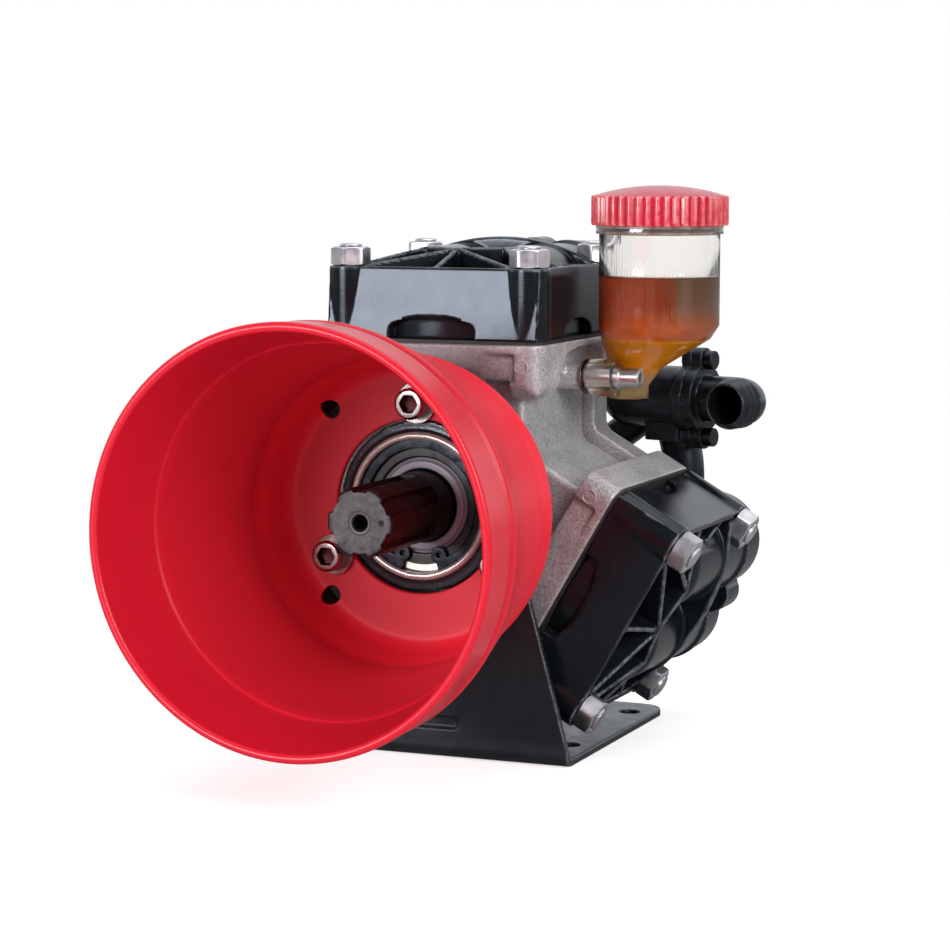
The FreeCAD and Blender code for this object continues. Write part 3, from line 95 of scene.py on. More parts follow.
# Pieces in their order: name, CAD node, finish and slot. Three numbers after them soften the solid with that
# voxel in millimetres, passes and triangles, and one number shades it smooth up to that angle.
PIECES = (
    ("crankcase_casting", "crankcase", "cast", "cast_aluminium"),
    ("rear_cover_casting", "rear_cover", "cast", "cast_aluminium", 0.9, 3, 30000),
    ("foot_sheet", "foot_bracket", "sheet", "black_sheet", 0.8, 2, 40000),
    ("suction_pipework", "suction_manifold", "moulding", "black_moulding", 0.7, 2, 33000),
    ("suction_hose_elbow", "suction_elbow", "moulding", "black_moulding", 0.5, 2, 33000),
    ("delivery_pipework", "delivery_manifold", "moulding", "black_moulding", 0.7, 2, 30000),
    ("delivery_hose_tail", "delivery_tail", "moulding", "black_moulding", 0.4, 2, 20000),
    ("bell_guard", "shaft_guard", "red", "red_plastic"),
    ("guard_socket_screws", "guard_screws", "bright", "zinc_steel"),
    ("oil_cap", "jar_cap", "cap", "red_cap"),
    ("sight_jar", "oil_jar", "clear", "clear_plastic"),
    ("jar_oil", "oil", "oil", "oil", 35),
    ("jar_banjo_bolt", "banjo_bolt", "zinc", "zinc_steel", 0.25, 2, 16000),
    ("jar_neck_collar", None, "collar", "clear_plastic"),
    ("jar_port_washer", "port_washer", "washer", "black_rubber", 35),
    ("splined_shaft", "drive_shaft", "shaft", "shaft_steel", 0.35, 2, 50000),
    ("bearing_spring_ring", "retaining_ring", "spring", "spring_steel", 0.25, 2, 16000),
    ("shaft_seal", "oil_seal", "seal", "black_rubber", 0.4, 2, 24000),
    ("oil_drain_plug", "drain_plug", "zinc", "zinc_steel", 0.35, 2, 8000),
    ("rear_cover_gasket", "rear_gasket", "rubber", "black_rubber", 35),
    ("rear_hex_screws", "rear_cover_screws", "zinc", "zinc_steel", 0.35, 2, 20000),
    ("inlet_flange_screws", "inlet_screws", "dark_steel", "zinc_steel", 0.25, 2, 10000),
)
ON_SHAFT = "splined_shaft"

# Camera and lamps: name, place, aim, size, power and colour
CAMERA_WAY = (22.05, 6.41, 0.11)
CAMERA_PLACE = (0.5535, -1.3664, 0.3006)
LENS = 107.85
LAMPS = (
    ("key_softbox", (1.45, -0.95, 0.85), (0, -0.05, 0.14), (0.9, 0.9), 25.0, (1.0, 0.99, 0.97)),
    ("front_softbox", (-0.74, -1.80, 0.44), (0, 0, 0.20), (0.85, 0.52), 31.0, (0.97, 0.98, 1.0)),
    ("top_softbox", (0.15, 0.1, 1.5), (0, 0, 0.15), (1.2, 1.2), 8.0, (0.92, 0.96, 1.0)),
)


# Meshes

def scratch(mesh, name="scratch"):
    obj = bpy.data.objects.new(name, mesh)
    scene.collection.objects.link(obj)
    return obj


def plain(obj):
    """The evaluated mesh of a scratch object, which is then removed."""
    depsgraph = bpy.context.evaluated_depsgraph_get()
    mesh = bpy.data.meshes.new_from_object(obj.evaluated_get(depsgraph))
    bpy.data.objects.remove(obj)
    return mesh


def solid_of(node):
    """A CAD node's mesh with its loose corners joined."""
    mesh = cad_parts[node].data.copy()
    made = bmesh.new()
    made.from_mesh(mesh)
    bmesh.ops.remove_doubles(made, verts=made.verts, dist=2e-6)
    made.to_mesh(mesh)
    made.free()
    mesh.materials.clear()
    return mesh


def smooth_to(mesh, degrees):
    """Smooth shading with edges above that angle kept sharp."""
    mesh.polygons.foreach_set("use_smooth", [True] * len(mesh.polygons))
    mesh.set_sharp_from_angle(angle=math.radians(degrees))
    return mesh


def rounded(mesh, voxel_mm, passes, triangles):
    """The same form with its edges softened as a mould leaves them, at about that many triangles."""
    obj = scratch(mesh)
    remesh = obj.modifiers.new("even", "REMESH")
    remesh.mode = "VOXEL"
    remesh.voxel_size = voxel_mm * MM
    remesh.use_smooth_shade = True
    relax = obj.modifiers.new("relax", "SMOOTH")
    relax.factor = 0.5
    relax.iterations = passes
    dense = plain(obj)
    obj = scratch(dense)
    thin = obj.modifiers.new("thin", "DECIMATE")
    thin.ratio = min(1.0, triangles / (2.0 * len(dense.polygons)))
    return plain(obj)


def turned_to(mesh, degrees):
    """A copy turned about the shaft axis, from the top head's place to another head's."""
    copy = mesh.copy()
    copy.transform(LIFT @ Matrix.Rotation(math.radians(degrees), 4, "Y") @ LIFT.inverted())
    return copy


def polar_mesh(rings, steps):
    """Closed mesh round Z from rings (radius, height). A radius is a number or a function of the angle."""
    made = bmesh.new()
    loops = []
    for radius, height in rings:
        if not callable(radius) and abs(radius) < 1e-9:
            loops.append([made.verts.new((0, 0, height))])
            continue
        loop = []
        for i in range(steps):
            angle = 2 * math.pi * i / steps
            r = radius(angle) if callable(radius) else radius
            z = height(angle) if callable(height) else height
            loop.append(made.verts.new((r * math.cos(angle), r * math.sin(angle), z)))
        loops.append(loop)
    pairs = list(zip(loops, loops[1:]))
    if len(loops[0]) > 1:
        pairs.append((loops[-1], loops[0]))
    for low, high in pairs:
        for i in range(steps):
            j = (i + 1) % steps
            corners = [low[i % len(low)], low[j % len(low)], high[j % len(high)], high[i % len(high)]]
            made.faces.new(list(dict.fromkeys(corners)))
    bmesh.ops.recalc_face_normals(made, faces=made.faces)
    mesh = bpy.data.meshes.new("polar")
    made.to_mesh(mesh)
    made.free()
    return mesh


def placed(mesh, matrix):
    """A mesh made in millimetres, moved by a matrix and brought to the row's frame."""
    mesh.transform(TO_ROW @ matrix)
    return mesh


def piece(name, mesh, finish, nodes=(), body="pump"):
    """Put a finished mesh in the scene, with its material, its body and the CAD nodes that it stands for."""
    mesh.name = name
    mesh.materials.clear()
    mesh.materials.append(finish)
    obj = scratch(mesh, name)
    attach(obj, body)
    if nodes:
        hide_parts(*nodes)
    return obj


# Node trees

def node(tree, kind, inputs=None, **settings):
    """Add a node. An input's value is a constant or another node's socket."""
    made = tree.nodes.new(kind)
    for key, value in settings.items():
        setattr(made, key, value)
    for key, value in (inputs or {}).items():
        if isinstance(value, bpy.types.NodeSocket):
            tree.links.new(value, made.inputs[key])
        else:
            made.inputs[key].default_value = value
    return made


def group(name, kind, inputs, outputs):
    """A node group from sockets (name, type, default). Returns its tree, values in and sockets out."""
    tree = bpy.data.node_groups.new(name, kind)
    for label, socket_type, default in inputs:
        socket = tree.interface.new_socket(name=label, in_out="INPUT", socket_type=socket_type)
        if default is not None:
            socket.default_value = default
    for label, socket_type in outputs:
        tree.interface.new_socket(name=label, in_out="OUTPUT", socket_type=socket_type)
    return tree, tree.nodes.new("NodeGroupInput").outputs, tree.nodes.new("NodeGroupOutput").inputs


def ramp(tree, value, low, high, at_low=0.0, at_high=1.0):
    """A value spread from one number at low to another at high, clamped."""
    return node(tree, "ShaderNodeMapRange", {
        "Value": value, "From Min": low, "From Max": high, "To Min": at_low, "To Max": at_high}).outputs[0]


def math_node(tree, operation, a, b=0.0):
    return node(tree, "ShaderNodeMath", {0: a, 1: b}, operation=operation).outputs[0]


def times(tree, a, b):
    return math_node(tree, "MULTIPLY", a, b)


def plus(tree, a, b):
    return math_node(tree, "ADD", a, b)


def minus(tree, a, b):
    return math_node(tree, "SUBTRACT", a, b)


def over(tree, a, b):
    return math_node(tree, "DIVIDE", a, b)


def vector(tree, x, y, z=0.0):
    return node(tree, "ShaderNodeCombineXYZ", {"X": x, "Y": y, "Z": z}).outputs[0]


def axes_of(tree, place):
    return node(tree, "ShaderNodeSeparateXYZ", {0: place}).outputs


def length_of(tree, way):
    return node(tree, "ShaderNodeVectorMath", {0: way}, operation="LENGTH").outputs["Value"]


def object_place(tree):
    return node(tree, "ShaderNodeTexCoord").outputs["Object"]


def noise(tree, place, scale, detail, roughness=0.5):
    return node(tree, "ShaderNodeTexNoise", {
        "Vector": place, "Scale": scale, "Detail": detail, "Roughness": roughness}).outputs[0]


def blend_colour(tree, factor, a, b):
    """Colour a where the factor is 0 and b where it is 1."""
    mix = node(tree, "ShaderNodeMix", {"Factor": factor}, data_type="RGBA")
    for socket, value in ((mix.inputs[6], a), (mix.inputs[7], b)):
        if isinstance(value, bpy.types.NodeSocket):
            tree.links.new(value, socket)
        else:
            socket.default_value = (*value, 1.0)
    return mix.outputs[2]


def layered(tree, surface, *layers):
    """A surface with (mask, colour) layers laid over it one after the other."""
    for mask, colour in layers:
        surface = blend_colour(tree, mask, surface, colour)
    return surface


FLOAT = "NodeSocketFloat"


def grain_group():
    """Fine and coarse unevenness of a surface: a height for bump and a mask for tone."""
    tree, given, out = group("surface_grain", "ShaderNodeTree", [
        ("Size", FLOAT, 1.0), ("Coarse", FLOAT, 0.5)], [("Height", FLOAT), ("Mottle", FLOAT)])
    place = object_place(tree)
    fine_scale = over(tree, 1000.0, given["Size"])
    fine = noise(tree, place, fine_scale, 3.0, 0.6)
    broad = noise(tree, place, over(tree, fine_scale, 7.0), 4.0)
    coarse = times(tree, broad, given["Coarse"])
    tree.links.new(plus(tree, fine, coarse), out["Height"])
    tree.links.new(ramp(tree, broad, 0.32, 0.68), out["Mottle"])
    return tree


def worn_and_lit_edge_group():
    """Mask of the outer edges, broken up as handling wears them, which stands for wearing and for painted
    highlights along edges, and of the inner corners.
    """
    tree, given, out = group("worn_and_lit_edges", "ShaderNodeTree", [
        ("Reach", FLOAT, 0.06), ("Break Size", FLOAT, 4.0)], [("Edge", FLOAT), ("Corner", FLOAT)])
    point = node(tree, "ShaderNodeNewGeometry").outputs["Pointiness"]
    place = object_place(tree)
    scale = over(tree, 1000.0, given["Break Size"])
    patches = noise(tree, place, scale, 4.0)
    reach = given["Reach"]
    raised = over(tree, minus(tree, point, 0.51), reach)
    hollow = over(tree, minus(tree, 0.49, point), reach)
    broken = times(tree, raised, ramp(tree, patches, 0.3, 0.6))
    tree.links.new(ramp(tree, broken, 0.0, 1.0), out["Edge"])
    tree.links.new(ramp(tree, hollow, 0.0, 1.0), out["Corner"])
    return tree


def dust_and_top_light_group():
    """Mask of faces that look up, in patches: dust on most finishes, and painted cool top light on the
    casting.
    """
    tree, given, out = group("dust_and_top_light", "ShaderNodeTree", [("Amount", FLOAT, 0.3)], [("Dust And Light", FLOAT)])
    normal = axes_of(tree, node(tree, "ShaderNodeNewGeometry").outputs["Normal"])
    place = object_place(tree)
    patches = noise(tree, place, 60.0, 6.0)
    upward = ramp(tree, normal["Z"], 0.35, 1.0)
    lying = times(tree, upward, ramp(tree, patches, 0.25, 0.75))
    tree.links.new(times(tree, lying, given["Amount"]), out["Dust And Light"])
    return tree


GRAIN = grain_group()
WORN_AND_LIT_EDGES = worn_and_lit_edge_group()
DUST_AND_TOP_LIGHT = dust_and_top_light_group()


def use(tree, shared, **values):
    """Place a shared group in a material with its own values."""
    made = tree.nodes.new("ShaderNodeGroup")
    made.node_tree = shared
    for key, value in values.items():
        made.inputs[key.replace("_", " ")].default_value = value
    return made.outputs


def new_finish(name, **values):
    """A material with its Principled shader's constants set. Returns material, tree and shader."""
    finish = bpy.data.materials.new(name)
    finish.use_nodes = True
    tree = finish.node_tree
    shader = tree.nodes["Principled BSDF"]
    for key, value in values.items():
        shader.inputs[key.replace("_", " ")].default_value = value
    return finish, tree, shader


def bumped(tree, shader, height, distance_mm):
    bump = node(tree, "ShaderNodeBump", {"Height": height, "Distance": distance_mm * MM, "Strength": 1.0})
    tree.links.new(bump.outputs[0], shader.inputs["Normal"])


def roughened(tree, shader, value, low, high):
    tree.links.new(ramp(tree, value, 0.0, 1.0, low, high), shader.inputs["Roughness"])


DUST_COLOUR = (0.42, 0.40, 0.37)
# Colour laid in inner corners, which makes them darker.
CORNER_DARK = (0.06, 0.05, 0.045)
WORN_AND_LIT_FADE = 0.003


def coated_finish(name, colour, tone, worn_and_lit_colour, grain_mm, bump_mm, rough, edge_wear_and_light, dust, shine=0.5,
                  tint=(1.0, 1.0, 1.0), worn_and_lit_from=0.0):
    """Painted or moulded surface: mottled tone, fine grain, dust, and lighter edges beyond a radius, which
    stand for wearing and, on the heads and the cap, for painted highlights.
    """
    finish, tree, shader = new_finish(name, IOR=1.5, Specular_IOR_Level=shine, Specular_Tint=(*tint, 1.0))
    grain = use(tree, GRAIN, Size=grain_mm, Coarse=0.6)
    dust_and_light = use(tree, DUST_AND_TOP_LIGHT, Amount=dust)
    surface = blend_colour(tree, grain["Mottle"], colour, tone)
    # Lighter edges: wearing, and on the heads and the cap painted highlights along the edges.
    if edge_wear_and_light > 0:
        edges = use(tree, WORN_AND_LIT_EDGES, Reach=0.06, Break_Size=5.0)
        rubbed_and_lit = times(tree, edges["Edge"], edge_wear_and_light)
        if worn_and_lit_from > 0:
            radius = polar_spot(tree)[0]
            rubbed_and_lit = times(tree, rubbed_and_lit, ramp(tree, radius, worn_and_lit_from, worn_and_lit_from + WORN_AND_LIT_FADE))
        surface = blend_colour(tree, rubbed_and_lit, surface, worn_and_lit_colour)
    surface = blend_colour(tree, dust_and_light["Dust And Light"], surface, DUST_COLOUR)
    tree.links.new(surface, shader.inputs["Base Color"])
    roughened(tree, shader, grain["Mottle"], *rough)
    bumped(tree, shader, grain["Height"], bump_mm)
    return finish


def metal_finish(name, colour, tone, grain_mm, bump_mm, rough):
    """Bare metal: mottled, with darker inner corners."""
    finish, tree, shader = new_finish(name, Metallic=1.0)
    grain = use(tree, GRAIN, Size=grain_mm, Coarse=0.8)
    edges = use(tree, WORN_AND_LIT_EDGES, Reach=0.08, Break_Size=3.0)
    surface = blend_colour(tree, grain["Mottle"], colour, tone)
    surface = blend_colour(tree, times(tree, edges["Corner"], 0.5), surface, CORNER_DARK)
    tree.links.new(surface, shader.inputs["Base Color"])
    roughened(tree, shader, grain["Mottle"], *rough)
    bumped(tree, shader, grain["Height"], bump_mm)
    return finish


def polar_spot(tree):
    """Distance from the shaft's axis, angle round it and place along it, all in metres."""
    spot = axes_of(tree, object_place(tree))
    up = minus(tree, spot["Z"], SHAFT_HEIGHT * MM)
    across = times(tree, spot["X"], spot["X"])
    squared = plus(tree, across, times(tree, up, up))
    return math_node(tree, "SQRT", squared), math_node(tree, "ARCTAN2", up, spot["X"]), spot["Y"]


SOFT_LINE = 0.0002


def between(tree, value, low, high, soft):
    """Mask of the values from low to high, with soft ends."""
    rise = ramp(tree, value, low - soft, low + soft)
    fall = ramp(tree, value, high + soft, high - soft)
    return times(tree, rise, fall)


def cast_finish():
    """Sand-grey die casting, granular, with painted shade and a painted red reflection on its front, a
    painted shadow on the top flange's front, painted cool top light on upward faces, the recessed shoulder
    round the bearing painted dark as shade and glossy, and a turned land round the bearing.
    """
    finish, tree, shader = new_finish("cast_aluminium", Metallic=0.5, Specular_IOR_Level=0.4)
    grain = use(tree, GRAIN, Size=1.1, Coarse=0.9)
    edges = use(tree, WORN_AND_LIT_EDGES, Reach=0.06, Break_Size=3.0)
    dust_and_light = use(tree, DUST_AND_TOP_LIGHT, Amount=0.12)
    place = object_place(tree)
    speck = noise(tree, place, 900.0, 3.0)
    cloud = noise(tree, place, 34.0, 6.0)
    spot = axes_of(tree, place)
    radius, _, along = polar_spot(tree)
    front_y, flange_shadow_x, flange_shadow_z = (-0.044, -0.058), (0.052, 0.026), (0.180, 0.188)
    shoulder_y, shoulder_r, land_y, land_r = (-0.0700, -0.0712), 0.0445, (-0.0730, -0.0736), 0.0372
    # The casting's front, darker and pinkish: painted shade and a painted reflection of the red guard.
    front = ramp(tree, spot["Y"], *front_y)
    # Painted shadow on the top flange's front, by the guard, tinted red as a painted reflection.
    flange_shadow = times(tree, ramp(tree, spot["X"], *flange_shadow_x), ramp(tree, spot["Z"], *flange_shadow_z))
    flange_shadow = times(tree, flange_shadow, times(tree, front, 0.70))
    # The recessed shoulder round the land, painted dark as the shade in it, and made glossy.
    shoulder_shade = times(tree, ramp(tree, along, *shoulder_y), between(tree, radius, land_r, shoulder_r, SOFT_LINE))
    turned = times(tree, ramp(tree, along, *land_y), ramp(tree, radius, land_r, land_r - 2 * SOFT_LINE))
    worn_land = blend_colour(tree, speck, (0.16, 0.115, 0.110), (0.62, 0.54, 0.52))
    surface = layered(
        tree, blend_colour(tree, ramp(tree, cloud, 0.36, 0.64), (0.335, 0.318, 0.324), (0.500, 0.488, 0.505)),
        (ramp(tree, speck, 0.50, 0.95), (0.78, 0.77, 0.79)),
        (ramp(tree, speck, 0.50, 0.10), (0.10, 0.09, 0.09)),
        (times(tree, edges["Corner"], 0.8), (0.055, 0.045, 0.045)),
        (times(tree, edges["Edge"], 0.6), (0.66, 0.65, 0.66)),
        # Upward faces lighter and bluish: painted light of the cool top lamp.
        (dust_and_light["Dust And Light"], (0.52, 0.51, 0.54)),
        # Front darker and pinkish: painted shade and painted red reflection.
        (times(tree, front, 0.36), (0.17, 0.105, 0.115)),
        # Painted shadow on the top flange's front.
        (flange_shadow, (0.075, 0.042, 0.046)),
        # Shoulder painted dark: painted shade.
        (shoulder_shade, (0.022, 0.024, 0.030)),
        (turned, worn_land))
    tree.links.new(surface, shader.inputs["Base Color"])
    tree.links.new(minus(tree, 0.5, times(tree, turned, 0.1)), shader.inputs["Metallic"])
    rough = minus(tree, 0.48, times(tree, shoulder_shade, 0.28))
    tree.links.new(minus(tree, rough, times(tree, turned, 0.20)), shader.inputs["Roughness"])
    sand = plus(tree, grain["Height"], times(tree, speck, 0.8))
    bumped(tree, shader, times(tree, sand, minus(tree, 1.0, times(tree, turned, 0.6))), 0.09)
    return finish


def shaft_finish():
    """Dark turned steel, rust-brown between the teeth and darker further back along the shaft, with turning
    rings and scratches on the end face.
    """
    finish, tree, shader = new_finish("shaft_steel", Metallic=0.3, Specular_IOR_Level=0.22)
    grain = use(tree, GRAIN, Size=0.8, Coarse=0.8)
    radius, angle, along = polar_spot(tree)
    scratches = noise(tree, vector(tree, times(tree, angle, 5.0), times(tree, radius, 180.0)), 1.0, 6.0)
    rings = noise(tree, vector(tree, times(tree, radius, 420.0), 0.0), 1.0, 2.0)
    uneven = times(tree, plus(tree, scratches, rings), 0.38)
    uneven = plus(tree, uneven, times(tree, grain["Mottle"], 0.24))
    end_y, tooth_y, rim_r = (-0.1450, -0.1456), (-0.128, -0.100), (0.0150, 0.0174)
    hole_ring, dark_ring, punch_r = (0.0033, 0.0050), (0.0052, 0.0060), (0.0017, 0.0013)
    punch_dot = (0.0112, -0.1457, SHAFT_HEIGHT * MM + 0.0006)
    punch = node(tree, "ShaderNodeVectorMath", {0: object_place(tree), 1: punch_dot}, operation="DISTANCE")
    worked = ramp(tree, uneven, 0.28, 0.72)
    end_face = layered(
        tree, blend_colour(tree, worked, (0.020, 0.018, 0.019), (0.105, 0.097, 0.100)),
        (times(tree, ramp(tree, radius, *rim_r), 0.7), (0.018, 0.017, 0.018)),
        (between(tree, radius, *hole_ring, SOFT_LINE), (0.19, 0.18, 0.18)),
        (between(tree, radius, *dark_ring, SOFT_LINE), (0.030, 0.027, 0.028)),
        (ramp(tree, punch.outputs["Value"], *punch_r), (0.004, 0.004, 0.004)))
    teeth_colour = blend_colour(tree, grain["Mottle"], (0.006, 0.010, 0.008), (0.024, 0.022, 0.014))
    # Darker further back along the shaft.
    teeth_colour = blend_colour(tree, ramp(tree, along, *tooth_y), teeth_colour, (0.006, 0.006, 0.006))
    surface = blend_colour(tree, ramp(tree, along, *end_y), teeth_colour, end_face)
    tree.links.new(surface, shader.inputs["Base Color"])
    roughened(tree, shader, grain["Mottle"], 0.38, 0.52)
    bumped(tree, shader, plus(tree, grain["Height"], uneven), 0.04)
    return finish


def screw_finish():
    """Bright screw steel, with each guard screw's socket painted dark and reddish as painted shade and a
    painted reflection of the red guard.
    """
    finish, tree, shader = new_finish("bright_screw_steel", Metallic=1.0)
    grain = use(tree, GRAIN, Size=0.6, Coarse=0.8)
    surface = blend_colour(tree, grain["Mottle"], (0.25, 0.205, 0.20), (0.40, 0.345, 0.335))
    radius, angle, _ = polar_spot(tree)
    share = 2 * math.pi / GUARD_SCREWS
    folded = math_node(tree, "FLOORED_MODULO", plus(tree, angle, math.pi / 2), share)
    folded = minus(tree, folded, share / 2)
    off_out = times(tree, radius, math_node(tree, "COSINE", folded))
    off_out = minus(tree, off_out, GUARD_SCREW_CIRCLE * MM)
    off_round = times(tree, radius, math_node(tree, "SINE", folded))
    away = vector(tree, off_out, off_round)
    # Socket painted dark and reddish: painted shade and painted red reflection.
    socket_shade_r = (0.0049, 0.0041)
    socket = ramp(tree, length_of(tree, away), *socket_shade_r)
    surface = blend_colour(tree, socket, surface, (0.085, 0.026, 0.028))
    tree.links.new(surface, shader.inputs["Base Color"])
    tree.links.new(plus(tree, 0.26, times(tree, socket, 0.25)), shader.inputs["Roughness"])
    bumped(tree, shader, grain["Height"], 0.03)
    return finish


def seal_finish():
    """Black rubber seal with a greyer lip and a bright steel case showing at its rim."""
    finish, tree, shader = new_finish("shaft_seal_rubber", Specular_IOR_Level=0.4)
    grain = use(tree, GRAIN, Size=0.6, Coarse=0.6)
    radius = polar_spot(tree)[0]
    lip_r, case_r = (0.0188, 0.0236), (0.0296, 0.0299)
    lip = between(tree, radius, *lip_r, 2 * SOFT_LINE)
    case = ramp(tree, radius, *case_r)
    surface = layered(
        tree, blend_colour(tree, grain["Mottle"], (0.008, 0.009, 0.011), (0.016, 0.017, 0.020)),
        (lip, (0.20, 0.20, 0.24)), (case, (0.72, 0.68, 0.62)))
    tree.links.new(surface, shader.inputs["Base Color"])
    tree.links.new(case, shader.inputs["Metallic"])
    roughened(tree, shader, grain["Mottle"], 0.30, 0.42)
    bumped(tree, shader, grain["Height"], 0.02)
    return finish


def guard_finish():
    """Red moulding, glossy at the lip and satin further in, with painted light and shade: brighter red deeper
    in the bell, a darker base disc and a brighter ring at the base's corner; its four vents are painted black
    as shade.
    """
    finish, tree, shader = new_finish("red_moulded_guard", IOR=1.5, Specular_IOR_Level=0.24)
    grain = use(tree, GRAIN, Size=3.0, Coarse=1.0)
    spot = axes_of(tree, object_place(tree))
    off_x = minus(tree, math_node(tree, "ABSOLUTE", spot["X"]), VENT_AT * MM)
    lifted = minus(tree, spot["Z"], SHAFT_HEIGHT * MM)
    off_z = minus(tree, math_node(tree, "ABSOLUTE", lifted), VENT_AT * MM)
    away = vector(tree, off_x, off_z)
    radius, _, along = polar_spot(tree)
    shaded_base_r, shaded_base_y, lit_deep_y, gloss_y = (0.0735, 0.0620), (-0.0860, -0.0770), (-0.200, -0.130), (-0.215, -0.150)
    lit_corner_r, lit_corner_soft, lit_corner_y, vent_shade_r = (0.0700, 0.0810), 0.0060, (-0.108, -0.096), (0.00472, 0.00462)
    base = times(tree, ramp(tree, radius, *shaded_base_r), ramp(tree, along, *shaded_base_y))
    corner = times(tree, between(tree, radius, *lit_corner_r, lit_corner_soft), ramp(tree, along, *lit_corner_y))
    surface = layered(
        tree, blend_colour(tree, grain["Mottle"], (0.490, 0.0078, 0.0215), (0.480, 0.0074, 0.0205)),
        # Brighter red deeper in the bell: painted light.
        (ramp(tree, along, *lit_deep_y), (0.660, 0.0155, 0.0330)),
        # Base disc darker than the wall round it: painted shade.
        (base, (0.520, 0.0150, 0.0310)),
        # Brighter ring at the base's corner: painted light that hides the corner's shading edge.
        (corner, (0.780, 0.0190, 0.0390)),
        # Vents painted black: painted shade.
        (ramp(tree, length_of(tree, away), *vent_shade_r), (0.003, 0.002, 0.002)))
    tree.links.new(surface, shader.inputs["Base Color"])
    tree.links.new(ramp(tree, along, *gloss_y, 0.28, 0.50), shader.inputs["Roughness"])
    bumped(tree, shader, grain["Mottle"], 0.002)
    return finish


def oil_finish():
    """Brown oil, brick-red on one side, with a painted grey-brown reflection and a pale painted reflected
    band on the other, amber where the jar narrows.
    """
    finish, tree, shader = new_finish("pump_oil", Transmission_Weight=0.45, IOR=1.02, Specular_IOR_Level=0.0)
    grain = use(tree, GRAIN, Size=9.0, Coarse=1.0)
    place = object_place(tree)
    way_x, way_y = 0.927, 0.375
    across = node(tree, "ShaderNodeVectorMath", {0: place, 1: (way_x, way_y, 0.0)}, operation="DOT_PRODUCT")
    side = minus(tree, across.outputs["Value"], (JAR_X * way_x + JAR_Y * way_y) * MM)
    side = plus(tree, side, times(tree, grain["Mottle"], 0.003))
    height = axes_of(tree, place)["Z"]
    red_side, reflected_side, reflected_band, band_soft = (-0.020, 0.002), (0.006, 0.009), (0.0105, 0.0160), 0.0015
    bowl_z, funnel_z, foot_z = (0.2250, 0.2120), (0.2090, 0.2078), (0.1930, 0.1850)
    surface = layered(
        tree, blend_colour(tree, ramp(tree, side, *red_side), (0.66, 0.140, 0.058), (0.40, 0.070, 0.024)),
        # Grey-brown side and pale band: painted reflection.
        (ramp(tree, side, *reflected_side), (0.250, 0.118, 0.052)),
        (between(tree, side, *reflected_band, band_soft), (0.33, 0.190, 0.110)),
        (ramp(tree, height, *bowl_z), (0.62, 0.150, 0.040)),
        (ramp(tree, height, *funnel_z), (1.0, 0.42, 0.004)),
        (ramp(tree, height, *foot_z), (0.52, 0.38, 0.17)))
    tree.links.new(surface, shader.inputs["Base Color"])
    roughened(tree, shader, grain["Mottle"], 0.50, 0.60)
    return finish


def clear_finish(name, thick_tint, density):
    """Clear plastic, tinted where it is thick and cloudy in the jar's foot."""
    finish, tree, shader = new_finish(name, Transmission_Weight=1.0, IOR=1.49)
    grain = use(tree, GRAIN, Size=3.0, Coarse=1.0)
    surface = blend_colour(tree, grain["Mottle"], (0.99, 0.99, 0.985), (0.975, 0.975, 0.97))
    tree.links.new(surface, shader.inputs["Base Color"])
    height = axes_of(tree, object_place(tree))["Z"]
    foot_z = (0.198, 0.206)
    tree.links.new(ramp(tree, height, *foot_z, 0.22, 0.012), shader.inputs["Roughness"])
    inside = node(tree, "ShaderNodeVolumeAbsorption", {"Color": (*thick_tint, 1.0), "Density": density})
    tree.links.new(inside.outputs[0], tree.nodes["Material Output"].inputs["Volume"])
    return finish


